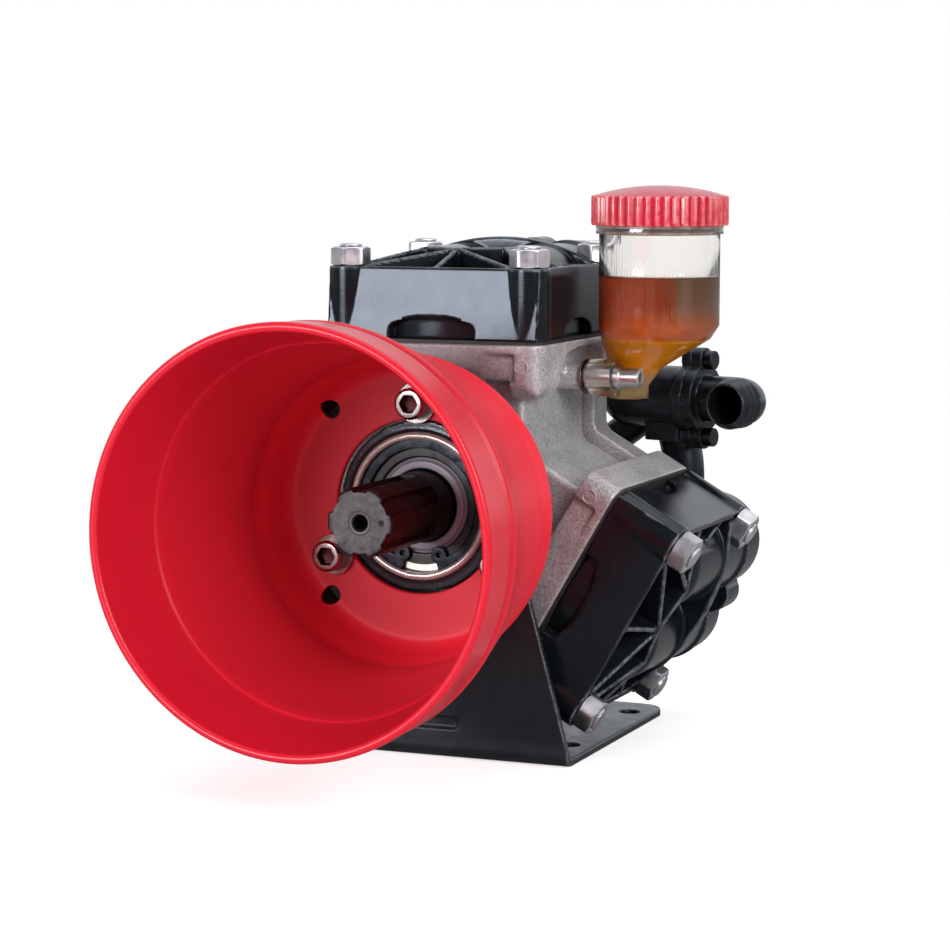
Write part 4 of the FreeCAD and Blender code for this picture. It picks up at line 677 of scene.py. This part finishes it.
def make_finishes():
    """Every finish by the short name that the table of pieces uses."""
    cool = (0.80, 0.87, 1.0)
    return {
        "cast": cast_finish(),
        # Heads: the light grey edges of the webs, beyond 111 mm from the shaft, are painted highlights as
        # well as wearing.
        "head": coated_finish("black_head_coating", (0.0035, 0.0050, 0.0065), (0.0055, 0.0070, 0.0090),
                              (0.30, 0.32, 0.35), 1.3, 0.030, (0.17, 0.22), 0.6, 0.01, 0.28, cool, 0.111),
        "moulding": coated_finish("black_moulding", (0.0035, 0.0045, 0.0050), (0.006, 0.007, 0.008),
                                  (0.08, 0.09, 0.10), 0.8, 0.015, (0.24, 0.32), 0.4, 0.01, 0.36, cool),
        "sheet": coated_finish("black_sheet_paint", (0.0060, 0.0080, 0.0100), (0.0095, 0.0120, 0.0145),
                               (0.26, 0.27, 0.29), 1.1, 0.015, (0.30, 0.40), 0.5, 0.02, 0.45, cool),
        "rubber": coated_finish("black_rubber", (0.010, 0.010, 0.010), (0.018, 0.018, 0.018),
                                (0.05, 0.05, 0.05), 0.5, 0.03, (0.55, 0.70), 0.0, 0.02, 0.4),
        "washer": coated_finish("brown_port_washer", (0.10, 0.055, 0.035), (0.14, 0.08, 0.05),
                                (0.05, 0.05, 0.05), 0.5, 0.02, (0.40, 0.50), 0.0, 0.0, 0.4),
        "red": guard_finish(),
        # Cap: the pale pink rib edges are painted highlights.
        "cap": coated_finish("red_moulded_cap", (0.44, 0.0040, 0.0250), (0.38, 0.0030, 0.0200),
                             (0.90, 0.40, 0.36), 0.9, 0.010, (0.22, 0.30), 0.5, 0.0, 0.6),
        "zinc": metal_finish("zinc_plated_steel", (0.50, 0.48, 0.51), (0.68, 0.66, 0.69), 0.9, 0.04,
                             (0.28, 0.40)),
        "bright": screw_finish(),
        "dark_steel": metal_finish("blackened_steel", (0.030, 0.032, 0.036), (0.050, 0.053, 0.058), 0.6, 0.03,
                                   (0.28, 0.40)),
        "spring": metal_finish("dark_spring_steel", (0.016, 0.018, 0.022), (0.030, 0.033, 0.038), 0.5, 0.02,
                               (0.28, 0.38)),
        "shaft": shaft_finish(),
        "seal": seal_finish(),
        "collar": coated_finish("brown_neck_collar", (0.075, 0.048, 0.042), (0.13, 0.09, 0.08),
                                (0.34, 0.29, 0.26), 0.7, 0.01, (0.22, 0.30), 0.6, 0.0, 0.35),
        "clear": clear_finish("clear_jar_plastic", (0.86, 0.52, 0.0), 16.0),
        "oil": oil_finish(),
    }


# Geometry node trees

def real_end(tree, geometry, given, out):
    """Geometry realized, given its material and put out."""
    real = node(tree, "GeometryNodeRealizeInstances", {0: geometry})
    shown = node(tree, "GeometryNodeSetMaterial", {"Geometry": real.outputs[0], "Material": given["Finish"]})
    tree.links.new(shown.outputs[0], out[0])


def instance_tail(tree, points, rotation, given, out):
    """Instances of the chosen piece on points, each with its turn."""
    source = node(tree, "GeometryNodeObjectInfo", {"Object": given["Piece"]})
    placed_pieces = node(tree, "GeometryNodeInstanceOnPoints", {
        "Points": points, "Instance": source.outputs["Geometry"], "Rotation": rotation})
    real_end(tree, placed_pieces.outputs[0], given, out)


def grid_tree():
    """A piece at each corner of a rectangle."""
    tree, given, out = group("pieces_on_corners", "GeometryNodeTree", [
        ("Piece", "NodeSocketObject", None), ("Finish", "NodeSocketMaterial", None),
        ("Spacing X", FLOAT, 0.1), ("Spacing Y", FLOAT, 0.1), ("Turn", FLOAT, 0.0)],
        [("Geometry", "NodeSocketGeometry")])
    grid = node(tree, "GeometryNodeMeshGrid", {
        "Size X": given["Spacing X"], "Size Y": given["Spacing Y"],
        "Vertices X": 2, "Vertices Y": 2})
    index = node(tree, "GeometryNodeInputIndex").outputs[0]
    rotation = vector(tree, 0.0, 0.0, times(tree, index, given["Turn"]))
    instance_tail(tree, grid.outputs["Mesh"], rotation, given, out)
    return tree


def ring_tree():
    """Pieces spread evenly round a circle."""
    tree, given, out = group("pieces_round_circle", "GeometryNodeTree", [
        ("Piece", "NodeSocketObject", None), ("Finish", "NodeSocketMaterial", None),
        ("Count", "NodeSocketInt", 3), ("Radius", FLOAT, 0.05), ("First Angle", FLOAT, 0.0)],
        [("Geometry", "NodeSocketGeometry")])
    index = node(tree, "GeometryNodeInputIndex").outputs[0]
    turn = times(tree, over(tree, index, given["Count"]), 2 * math.pi)
    angle = plus(tree, turn, given["First Angle"])
    across = times(tree, math_node(tree, "COSINE", angle), given["Radius"])
    along = times(tree, math_node(tree, "SINE", angle), given["Radius"])
    spot = vector(tree, across, along)
    points = node(tree, "GeometryNodePoints", {"Count": given["Count"], "Position": spot})
    instance_tail(tree, points.outputs[0], vector(tree, 0.0, 0.0, angle), given, out)
    return tree


def run_tree(tree, **values):
    """Evaluate a geometry tree with its named inputs and return the plain mesh."""
    obj = scratch(bpy.data.meshes.new("host"))
    modifier = obj.modifiers.new("tree", "NODES")
    modifier.node_group = tree
    sockets = {s.name: s.identifier for s in tree.interface.items_tree if s.in_out == "INPUT"}
    for key, value in values.items():
        modifier[sockets[key.replace("_", " ")]] = value
    return plain(obj)


def bell_tree():
    """Bell turned from a closed profile, with vents and screw holes cut through its base."""
    tree, given, out = group("turned_bell", "GeometryNodeTree", [
        ("Profile", "NodeSocketObject", None), ("Finish", "NodeSocketMaterial", None),
        ("Profile Points", "NodeSocketInt", 8), ("Segments", "NodeSocketInt", 240),
        ("Vents", "NodeSocketInt", 4), ("Vent Radius", FLOAT, VENT_R), ("Vent Circle", FLOAT, 66.5),
        ("Screws", "NodeSocketInt", GUARD_SCREWS), ("Screw Hole Radius", FLOAT, SCREW_HOLE_R),
        ("Screw Circle", FLOAT, GUARD_SCREW_CIRCLE), ("Cut Depth", FLOAT, 60.0)],
        [("Geometry", "NodeSocketGeometry")])
    row_length = plus(tree, given["Profile Points"], 1.0)
    columns = plus(tree, given["Segments"], 1.0)
    sheet = node(tree, "GeometryNodeMeshGrid", {"Vertices X": columns, "Vertices Y": row_length})
    index = node(tree, "GeometryNodeInputIndex").outputs[0]
    columns_in = over(tree, plus(tree, index, 0.5), row_length)
    column = math_node(tree, "FLOOR", columns_in)
    in_row = minus(tree, index, times(tree, column, row_length))
    wrapped = math_node(tree, "FLOORED_MODULO", in_row, given["Profile Points"])
    outline = node(tree, "GeometryNodeObjectInfo", {"Object": given["Profile"]}).outputs["Geometry"]
    where = node(tree, "GeometryNodeInputPosition").outputs[0]
    sampled = node(tree, "GeometryNodeSampleIndex", {"Geometry": outline, "Value": where, "Index": wrapped},
                   data_type="FLOAT_VECTOR")
    section = axes_of(tree, sampled.outputs[0])
    angle = times(tree, over(tree, column, given["Segments"]), 2 * math.pi)
    target = vector(tree, times(tree, section["X"], math_node(tree, "COSINE", angle)),
                    times(tree, section["X"], math_node(tree, "SINE", angle)), section["Z"])
    bell = node(tree, "GeometryNodeSetPosition", {
        "Geometry": sheet.outputs["Mesh"], "Position": target})
    joined = node(tree, "GeometryNodeMergeByDistance", {"Geometry": bell.outputs[0], "Distance": 0.0005})
    cut = node(tree, "GeometryNodeMeshBoolean", {"Mesh 1": joined.outputs[0]}, operation="DIFFERENCE")
    for hole, circle, count, first in (("Vent Radius", "Vent Circle", "Vents", 45.0),
                                       ("Screw Hole Radius", "Screw Circle", "Screws", 90.0)):
        rod = node(tree, "GeometryNodeMeshCylinder", {
            "Vertices": 48, "Radius": given[hole], "Depth": given["Cut Depth"]})
        ring = node(tree, "GeometryNodeMeshCircle", {
            "Vertices": given[count], "Radius": given[circle]})
        turn = node(tree, "GeometryNodeTransform", {
            "Geometry": ring.outputs[0], "Rotation": (0, 0, math.radians(first))})
        rods = node(tree, "GeometryNodeInstanceOnPoints", {
            "Points": turn.outputs[0], "Instance": rod.outputs[0]})
        cutter = node(tree, "GeometryNodeRealizeInstances", {0: rods.outputs[0]})
        tree.links.new(cutter.outputs[0], cut.inputs["Mesh 2"])
    real_end(tree, cut.outputs[0], given, out)
    return tree


# Pieces

def hex_radius(across_flats, softness=26.0, turn=0.0):
    """Radius of a hexagon with softened corners, as a function of the angle."""
    def radius(angle):
        total = sum(max(0.0, math.cos(angle - turn - i * math.pi / 3)) ** softness for i in range(6))
        return across_flats / 2 / total ** (1 / softness)
    return radius


def nut_on_stud():
    """Nut with both ends chamfered round, on the threaded, domed end of its stud."""
    hexagon = hex_radius(18.0)
    flat = 8.6
    height = 9.5
    chamfer = math.tan(math.radians(30))

    def slope(z, sign, depth):
        return lambda angle: z + sign * (hexagon(angle) - flat + depth) * chamfer

    def shrunk(mm):
        return lambda angle: hexagon(angle) - mm

    rings = [(0, -1.0), (6.0, -1.0), (flat - 0.2, 0.0), (flat, 0.0)]
    rings += [(shrunk(0.25), slope(0.0, 1, -0.25)), (hexagon, slope(0.0, 1, 0.2))]
    rings += [(hexagon, slope(height, -1, 0.2)), (shrunk(0.25), slope(height, -1, -0.25))]
    rings += [(flat, height), (flat - 0.2, height), (6.9, height), (6.15, height - 0.7)]
    pitch = 1.75
    thread_rings = 9
    thread_low = height - 0.7
    thread_length = 0.7 + 1.2
    for i in range(thread_rings):
        z = thread_low + thread_length * i / (thread_rings - 1)
        rings.append((lambda angle, z=z: 5.72 + 0.26 * math.cos(2 * math.pi * z / pitch - angle), z))
    rings += [(5.2, height + 1.45), (4.4, height + 1.7), (2.5, height + 1.78), (0, height + 1.8)]
    return smooth_to(polar_mesh(rings, 72), 32)


def socket_screw():
    """Socket screw with a knurled head on its washer, its axis along +Z, the washer's back at 0."""
    socket = hex_radius(8.0, 40.0)

    def knurl(angle):
        return 7.95 - 0.16 * abs(math.sin(angle * 24))

    washer = [(0, -3.0), (5.0, -3.0), (5.0, 0.0), (10.2, 0.0), (10.5, 0.3), (10.5, 1.7), (10.2, 2.0),
              (7.6, 2.0)]
    head = [(7.6, 2.3), (knurl, 2.7), (knurl, 10.7), (7.4, 11.2), (7.0, 11.75), (6.7, 11.95), (6.4, 12.0)]
    bore = [(lambda a: socket(a) + 0.5, 12.0), (lambda a: socket(a) + 0.1, 11.6), (socket, 11.3),
            (socket, 7.2), (3.2, 7.0), (0, 6.2)]
    return smooth_to(polar_mesh(washer + head + bore, 96), 34)


def guard_outline():
    """Closed half section of the bell as (radius, y), smooth at the lip, the groove and the base's corner."""
    points = []

    def arc(cx, cy, radius, start, end, count):
        for i in range(count + 1):
            angle = math.radians(start + (end - start) * i / count)
            points.append((cx + radius * math.cos(angle), cy + radius * math.sin(angle)))

    points += [(43.8, -75.2), (43.8, -72.6), (44.4, GUARD_BACK_Y), (55.0, GUARD_BACK_Y), (62.0, GUARD_BACK_Y)]
    cx, cy = base_round_centre()
    first = math.degrees(math.atan2(GUARD_BACK_Y - cy, BASE_CORNER_R - cx))
    last = math.degrees(math.atan2(BASE_END_Y - cy, BASE_END_R - cx))
    arc(cx, cy, BASE_ROUND, first, last, 20)
    points += [(79.75, -110.15), (79.95, -110.6), (80.1, -111.4), (82.4, -122.0), (86.2, -140.0)]
    points += [(90.8, -160.0), (95.0, -178.0), (98.3, -192.0), (98.95, -194.3), (99.1, -195.2)]
    points += [(98.9, -196.4), (98.2, -197.5), (97.0, -198.2), (96.4, -199.0), (96.2, -200.0)]
    points += [(96.2, -202.2), (96.5, -203.1), (97.4, -203.5), (98.6, -203.5), (99.05, -203.9)]
    points += [(99.12, -204.6), (99.3, -210.0), (99.7, -220.0), (99.95, -225.6)]
    arc(MOUTH_R + LIP_R, MOUTH_Y + 0.01, LIP_R, 0.0, -180.0, 14)
    draft = (MOUTH_R - 77.0) / (BASE_END_Y - MOUTH_Y)

    def inner(y):
        return MOUTH_R - (y - MOUTH_Y) * draft

    points += [(inner(y), y) for y in (-222.0, -214.0, -205.0, -196.0, -188.0, -185.6)]
    points += [(inner(-185.2) - 0.12, -185.0), (inner(-185.0) - 0.8, -184.4), (inner(-184.0) - 1.0, -183.6)]
    for y in (-176.0, -165.0, -150.0, -135.0, -120.0):
        points.append((inner(y) - 1.0 + (y - LEDGE_Y) / 74.0 * 0.9, y))
    ends = [math.degrees(math.atan2(y - cy, math.sqrt(GUARD_INNER_ROUND ** 2 - (y - cy) ** 2)))
            for y in (BASE_END_Y, -96.0)]
    arc(cx, cy, GUARD_INNER_ROUND, *ends, 8)
    points += [(74.55, -94.0), (74.2, -92.0), (73.85, -90.5), (73.5, -89.0), (73.15, -87.5), (72.75, -86.0)]
    points += [(72.25, -84.0), (71.65, -82.0), (71.0, -80.5), (70.2, -79.0), (69.35, -77.8), (68.35, -76.8)]
    points += [(67.35, -76.2), (66.3, -75.9)]
    points += [(radius, GUARD_FLOOR_Y) for radius in (65.2, 55.0, 44.4)]
    return points


def base_round_centre():
    """Centre of the arc from the base's corner to its end, on the shaft's side."""
    p = Vector((BASE_CORNER_R, GUARD_BACK_Y))
    q = Vector((BASE_END_R, BASE_END_Y))
    across = Vector((-(q - p).y, (q - p).x)).normalized()
    if across.x > 0:
        across = -across
    centre = (p + q) / 2 + across * math.sqrt(BASE_ROUND ** 2 - ((q - p).length / 2) ** 2)
    return centre.x, centre.y


def guard_mesh(finish):
    """The turned bell, with a closed sheet behind each vent, painted black as the shade seen through the
    vent.
    """
    outline = guard_outline()
    profile = bpy.data.meshes.new("guard_outline")
    profile.from_pydata([(r, 0, -y) for r, y in outline], [], [])
    source = scratch(profile, "guard_outline")
    mesh = run_tree(bell_tree(), Profile=source, Finish=finish, Profile_Points=len(outline), Segments=240,
                    Vents=4, Vent_Radius=VENT_R, Vent_Circle=VENT_AT * math.sqrt(2), Screws=GUARD_SCREWS,
                    Screw_Hole_Radius=SCREW_HOLE_R, Screw_Circle=GUARD_SCREW_CIRCLE, Cut_Depth=200.0)
    bpy.data.objects.remove(source)
    made = bmesh.new()
    made.from_mesh(mesh)
    # Sheets behind the vents, painted black as shade.
    for quarter in range(4):
        out = Matrix.Rotation(math.radians(45 + 90 * quarter), 3, "Z")
        ends = [[made.verts.new(out @ Vector((r, across, z))) for r, z in VENT_SHADE_SHEET]
                for across in (-VENT_SHADE_SHEET_HALF, VENT_SHADE_SHEET_HALF)]
        made.faces.new(ends[0])
        made.faces.new(ends[1])
        for i in range(len(VENT_SHADE_SHEET)):
            j = (i + 1) % len(VENT_SHADE_SHEET)
            made.faces.new((ends[0][i], ends[0][j], ends[1][j], ends[1][i]))
    bmesh.ops.remove_doubles(made, verts=made.verts, dist=0.002)
    bmesh.ops.recalc_face_normals(made, faces=made.faces)
    made.to_mesh(mesh)
    made.free()
    return smooth_to(placed(mesh, TO_FRONT), 34)


def spread_mesh(tree, one, name, **values):
    """Copies of one piece, spread by a geometry tree."""
    source = scratch(one, name)
    mesh = run_tree(tree, Piece=source, **values)
    bpy.data.objects.remove(source)
    return mesh


def cap_mesh():
    """Screw cap with rounded ribs, a domed top and a flat underside just over the jar's rim."""

    def ribbed(base, rise):
        return lambda angle: base + rise * (0.5 + 0.5 * math.cos(angle * CAP_RIBS)) ** 0.6

    underside = [(0, 140.3), (20.0, 140.3), (31.1, 140.3), (31.3, 140.1), (31.3, 138.4)]
    side = [(32.8, 138.4), (ribbed(33.2, 1.1), 138.5), (ribbed(33.3, 1.5), 138.9),
            (ribbed(33.35, 1.6), 140.0), (ribbed(33.35, 1.6), 152.4), (ribbed(33.3, 1.55), 153.1),
            (ribbed(33.2, 1.0), 153.5)]
    dome = [(33.0, 153.65), (32.2, 153.95), (29.0, 154.85), (24.0, 156.1), (18.0, 157.25), (12.0, 158.0),
            (6.0, 158.5), (0, 158.6)]
    return placed(smooth_to(polar_mesh(underside + side + dome, 12 * CAP_RIBS), 40), JAR_AXIS)


def joined(meshes):
    """One mesh of several."""
    made = bmesh.new()
    for mesh in meshes:
        made.from_mesh(mesh)
    whole = bpy.data.meshes.new("joined")
    made.to_mesh(whole)
    made.free()
    return whole


def filled_jar():
    """The jar's clear body: drawn foot and funnel under a turned wall, solid below the oil's level."""
    filling = solid_of("oil")
    made = bmesh.new()
    made.from_mesh(filling)
    made.normal_update()
    for corner in made.verts:
        corner.co += corner.normal * (OIL_SWELL * MM)
    made.to_mesh(filling)
    made.free()
    above = bmesh.new()
    bmesh.ops.create_cube(above, size=80.0)
    block = bpy.data.meshes.new("above_seam")
    above.to_mesh(block)
    above.free()
    placed(block, Matrix.Translation((JAR_X, JAR_Y, JAR_SEAM + 40.0)))
    outer = scratch(solid_of("oil_jar"))
    turned = placed(polar_mesh(JAR_WALL, 192), JAR_AXIS)
    parts = [(scratch(filling), "UNION"), (scratch(block), "DIFFERENCE"), (scratch(turned), "UNION")]
    for part, operation in parts:
        step = outer.modifiers.new(operation, "BOOLEAN")
        step.operation = operation
        step.solver = "EXACT"
        step.object = part
    mesh = plain(outer)
    for part, _ in parts:
        bpy.data.objects.remove(part)
    return smooth_to(mesh, 38)


def casting_with_marks():
    """The crankcase with the round marks of the ejector pins on its flanges."""
    meshes = [rounded(solid_of("crankcase"), 1.0, 3, 140000)]
    section = [(3.4 + 0.45 * math.cos(i * math.pi / 4), 0.4 * math.sin(i * math.pi / 4)) for i in range(8)]
    for degrees in HEAD_TURNS.values():
        turn = Matrix.Rotation(math.radians(degrees), 4, "Y")
        for across in (-STUD_SPACING / 2, STUD_SPACING / 2):
            spot = Matrix.Translation((across, FLANGE_FRONT_Y, PIN_MARK_R))
            mark = smooth_to(polar_mesh(section, 32), 60)
            meshes.append(placed(mark, turn @ spot @ TO_FRONT))
    return joined(meshes)


def build(finish):
    """Put every piece in the scene."""
    head = rounded(solid_of("top_head"), 0.8, 3, 100000)
    cover = rounded(solid_of("top_valve_cover"), 0.6, 3, 24000)
    rubber = smooth_to(solid_of("top_diaphragm"), 40)
    nuts = spread_mesh(grid_tree(), nut_on_stud(), "nut", Finish=finish["zinc"], Spacing_X=STUD_SPACING,
                       Spacing_Y=STUD_SPACING, Turn=0.4)
    placed(nuts, Matrix.Translation((0, 0, HEAD_TOP_R)))
    for side, degrees in HEAD_TURNS.items():
        for name, mesh, look, slot, stands_for in (
                ("head_casting_", head, "head", "black_casting", "_head"),
                ("valve_ends_", cover, "head", "black_casting", "_valve_cover"),
                ("diaphragm_edge_", rubber, "rubber", "black_rubber", "_diaphragm"),
                ("stud_nuts_", nuts, "zinc", "zinc_steel", "_head_studs")):
            piece(name + side, turned_to(mesh, degrees), finish[look], [side + stands_for])

    screws = spread_mesh(ring_tree(), socket_screw(), "screw", Finish=finish["bright"], Count=GUARD_SCREWS,
                         Radius=GUARD_SCREW_CIRCLE, First_Angle=math.radians(90))
    made = {
        "crankcase_casting": casting_with_marks(),
        "bell_guard": guard_mesh(finish["red"]),
        "guard_socket_screws": placed(screws, Matrix.Translation((0, GUARD_FLOOR_Y, 0)) @ TO_FRONT),
        "oil_cap": cap_mesh(),
        "sight_jar": filled_jar(),
        "jar_neck_collar": placed(smooth_to(polar_mesh(COLLAR, 128), 40), JAR_AXIS),
    }
    for name, stands_for, look, slot, *form in PIECES:
        if name in made:
            mesh = made[name]
        elif len(form) == 1:
            mesh = smooth_to(solid_of(stands_for), form[0])
        else:
            mesh = rounded(solid_of(stands_for), *form)
        body = "shaft" if name == ON_SHAFT else "pump"
        piece(name, mesh, finish[look], [stands_for] if stands_for else (), body)


# Studio

def add_lamp(name, spot, aim, size, energy, colour):
    """Rectangular soft lamp that looks at its aim."""
    lamp = bpy.data.lights.new(name, "AREA")
    lamp.shape = "RECTANGLE"
    lamp.size, lamp.size_y = size
    lamp.energy = energy
    lamp.color = colour
    obj = bpy.data.objects.new(name, lamp)
    scene.collection.objects.link(obj)
    obj.location = spot
    obj.rotation_euler = (Vector(aim) - Vector(spot)).to_track_quat("-Z", "Y").to_euler()


def make_floor():
    """Pale floor that fades into the white background and keeps the object's shadow."""
    mesh = bpy.data.meshes.new("studio_floor")
    half = 6
    mesh.from_pydata([(-half, -half, 0), (half, -half, 0), (half, half, 0), (-half, half, 0)], [], [range(4)])
    floor = scratch(mesh, "studio_floor")
    finish = bpy.data.materials.new("pale_floor")
    finish.use_nodes = True
    tree = finish.node_tree
    tree.nodes.clear()
    matte = node(tree, "ShaderNodeBsdfDiffuse", {"Color": (0.80, 0.80, 0.80, 1)})
    dim = node(tree, "ShaderNodeBsdfDiffuse", {"Color": (0.35, 0.35, 0.35, 1)})
    glow = node(tree, "ShaderNodeEmission", {"Strength": 0.50})
    lit = node(tree, "ShaderNodeAddShader", {0: matte.outputs[0], 1: glow.outputs[0]})
    white = node(tree, "ShaderNodeEmission", {"Strength": 1.0})
    reach = length_of(tree, object_place(tree))
    fade_m = (0.28, 0.75)
    fading = node(tree, "ShaderNodeMixShader", {
        0: ramp(tree, reach, *fade_m), 1: lit.outputs[0], 2: white.outputs[0]})
    path = node(tree, "ShaderNodeLightPath").outputs
    seen = math_node(tree, "MAXIMUM", path["Is Camera Ray"], path["Is Transmission Ray"])
    unlit = node(tree, "ShaderNodeMixShader", {
        0: path["Is Glossy Ray"], 1: matte.outputs[0], 2: dim.outputs[0]})
    shown = node(tree, "ShaderNodeMixShader", {0: seen, 1: unlit.outputs[0], 2: fading.outputs[0]})
    node(tree, "ShaderNodeOutputMaterial", {"Surface": shown.outputs[0]})
    mesh.materials.append(finish)


def make_world():
    """Even grey surroundings, white to the camera and through clear bodies, pale behind in reflections."""
    world = bpy.data.worlds.new("studio")
    scene.world = world
    world.use_nodes = True
    tree = world.node_tree
    tree.nodes.clear()
    path = node(tree, "ShaderNodeLightPath").outputs
    through = math_node(tree, "MAXIMUM", path["Is Camera Ray"], path["Is Transmission Ray"])
    way = node(tree, "ShaderNodeTexCoord").outputs["Generated"]
    depth = axes_of(tree, way)["Y"]
    behind = ramp(tree, depth, -0.6, 0.4, 0.22, 1.0)
    tone = (0.93, 0.96, 1.0, 1)
    soft = node(tree, "ShaderNodeBackground", {"Color": tone, "Strength": 0.55})
    mirror = node(tree, "ShaderNodeBackground", {"Color": tone, "Strength": behind})
    white = node(tree, "ShaderNodeBackground", {"Color": (1, 1, 1, 1), "Strength": 1.0})
    lit = node(tree, "ShaderNodeMixShader", {
        0: path["Is Glossy Ray"], 1: soft.outputs[0], 2: mirror.outputs[0]})
    shown = node(tree, "ShaderNodeMixShader", {0: through, 1: lit.outputs[0], 2: white.outputs[0]})
    node(tree, "ShaderNodeOutputWorld", {"Surface": shown.outputs[0]})


def make_camera():
    """Camera at the photograph's viewpoint."""
    azimuth, elevation, roll = (math.radians(degrees) for degrees in CAMERA_WAY)
    turn = Matrix.Rotation(azimuth, 4, "Z") @ Matrix.Rotation(math.pi / 2 - elevation, 4, "X")
    camera = bpy.data.cameras.new("camera")
    camera.lens = LENS
    camera.sensor_width = 36.0
    obj = bpy.data.objects.new("camera", camera)
    scene.collection.objects.link(obj)
    obj.matrix_world = Matrix.Translation(CAMERA_PLACE) @ turn @ Matrix.Rotation(roll, 4, "Z")
    scene.camera = obj


build(make_finishes())
make_floor()
make_world()
make_camera()
for lamp in LAMPS:
    add_lamp(*lamp)
scene.view_settings.view_transform = "Standard"
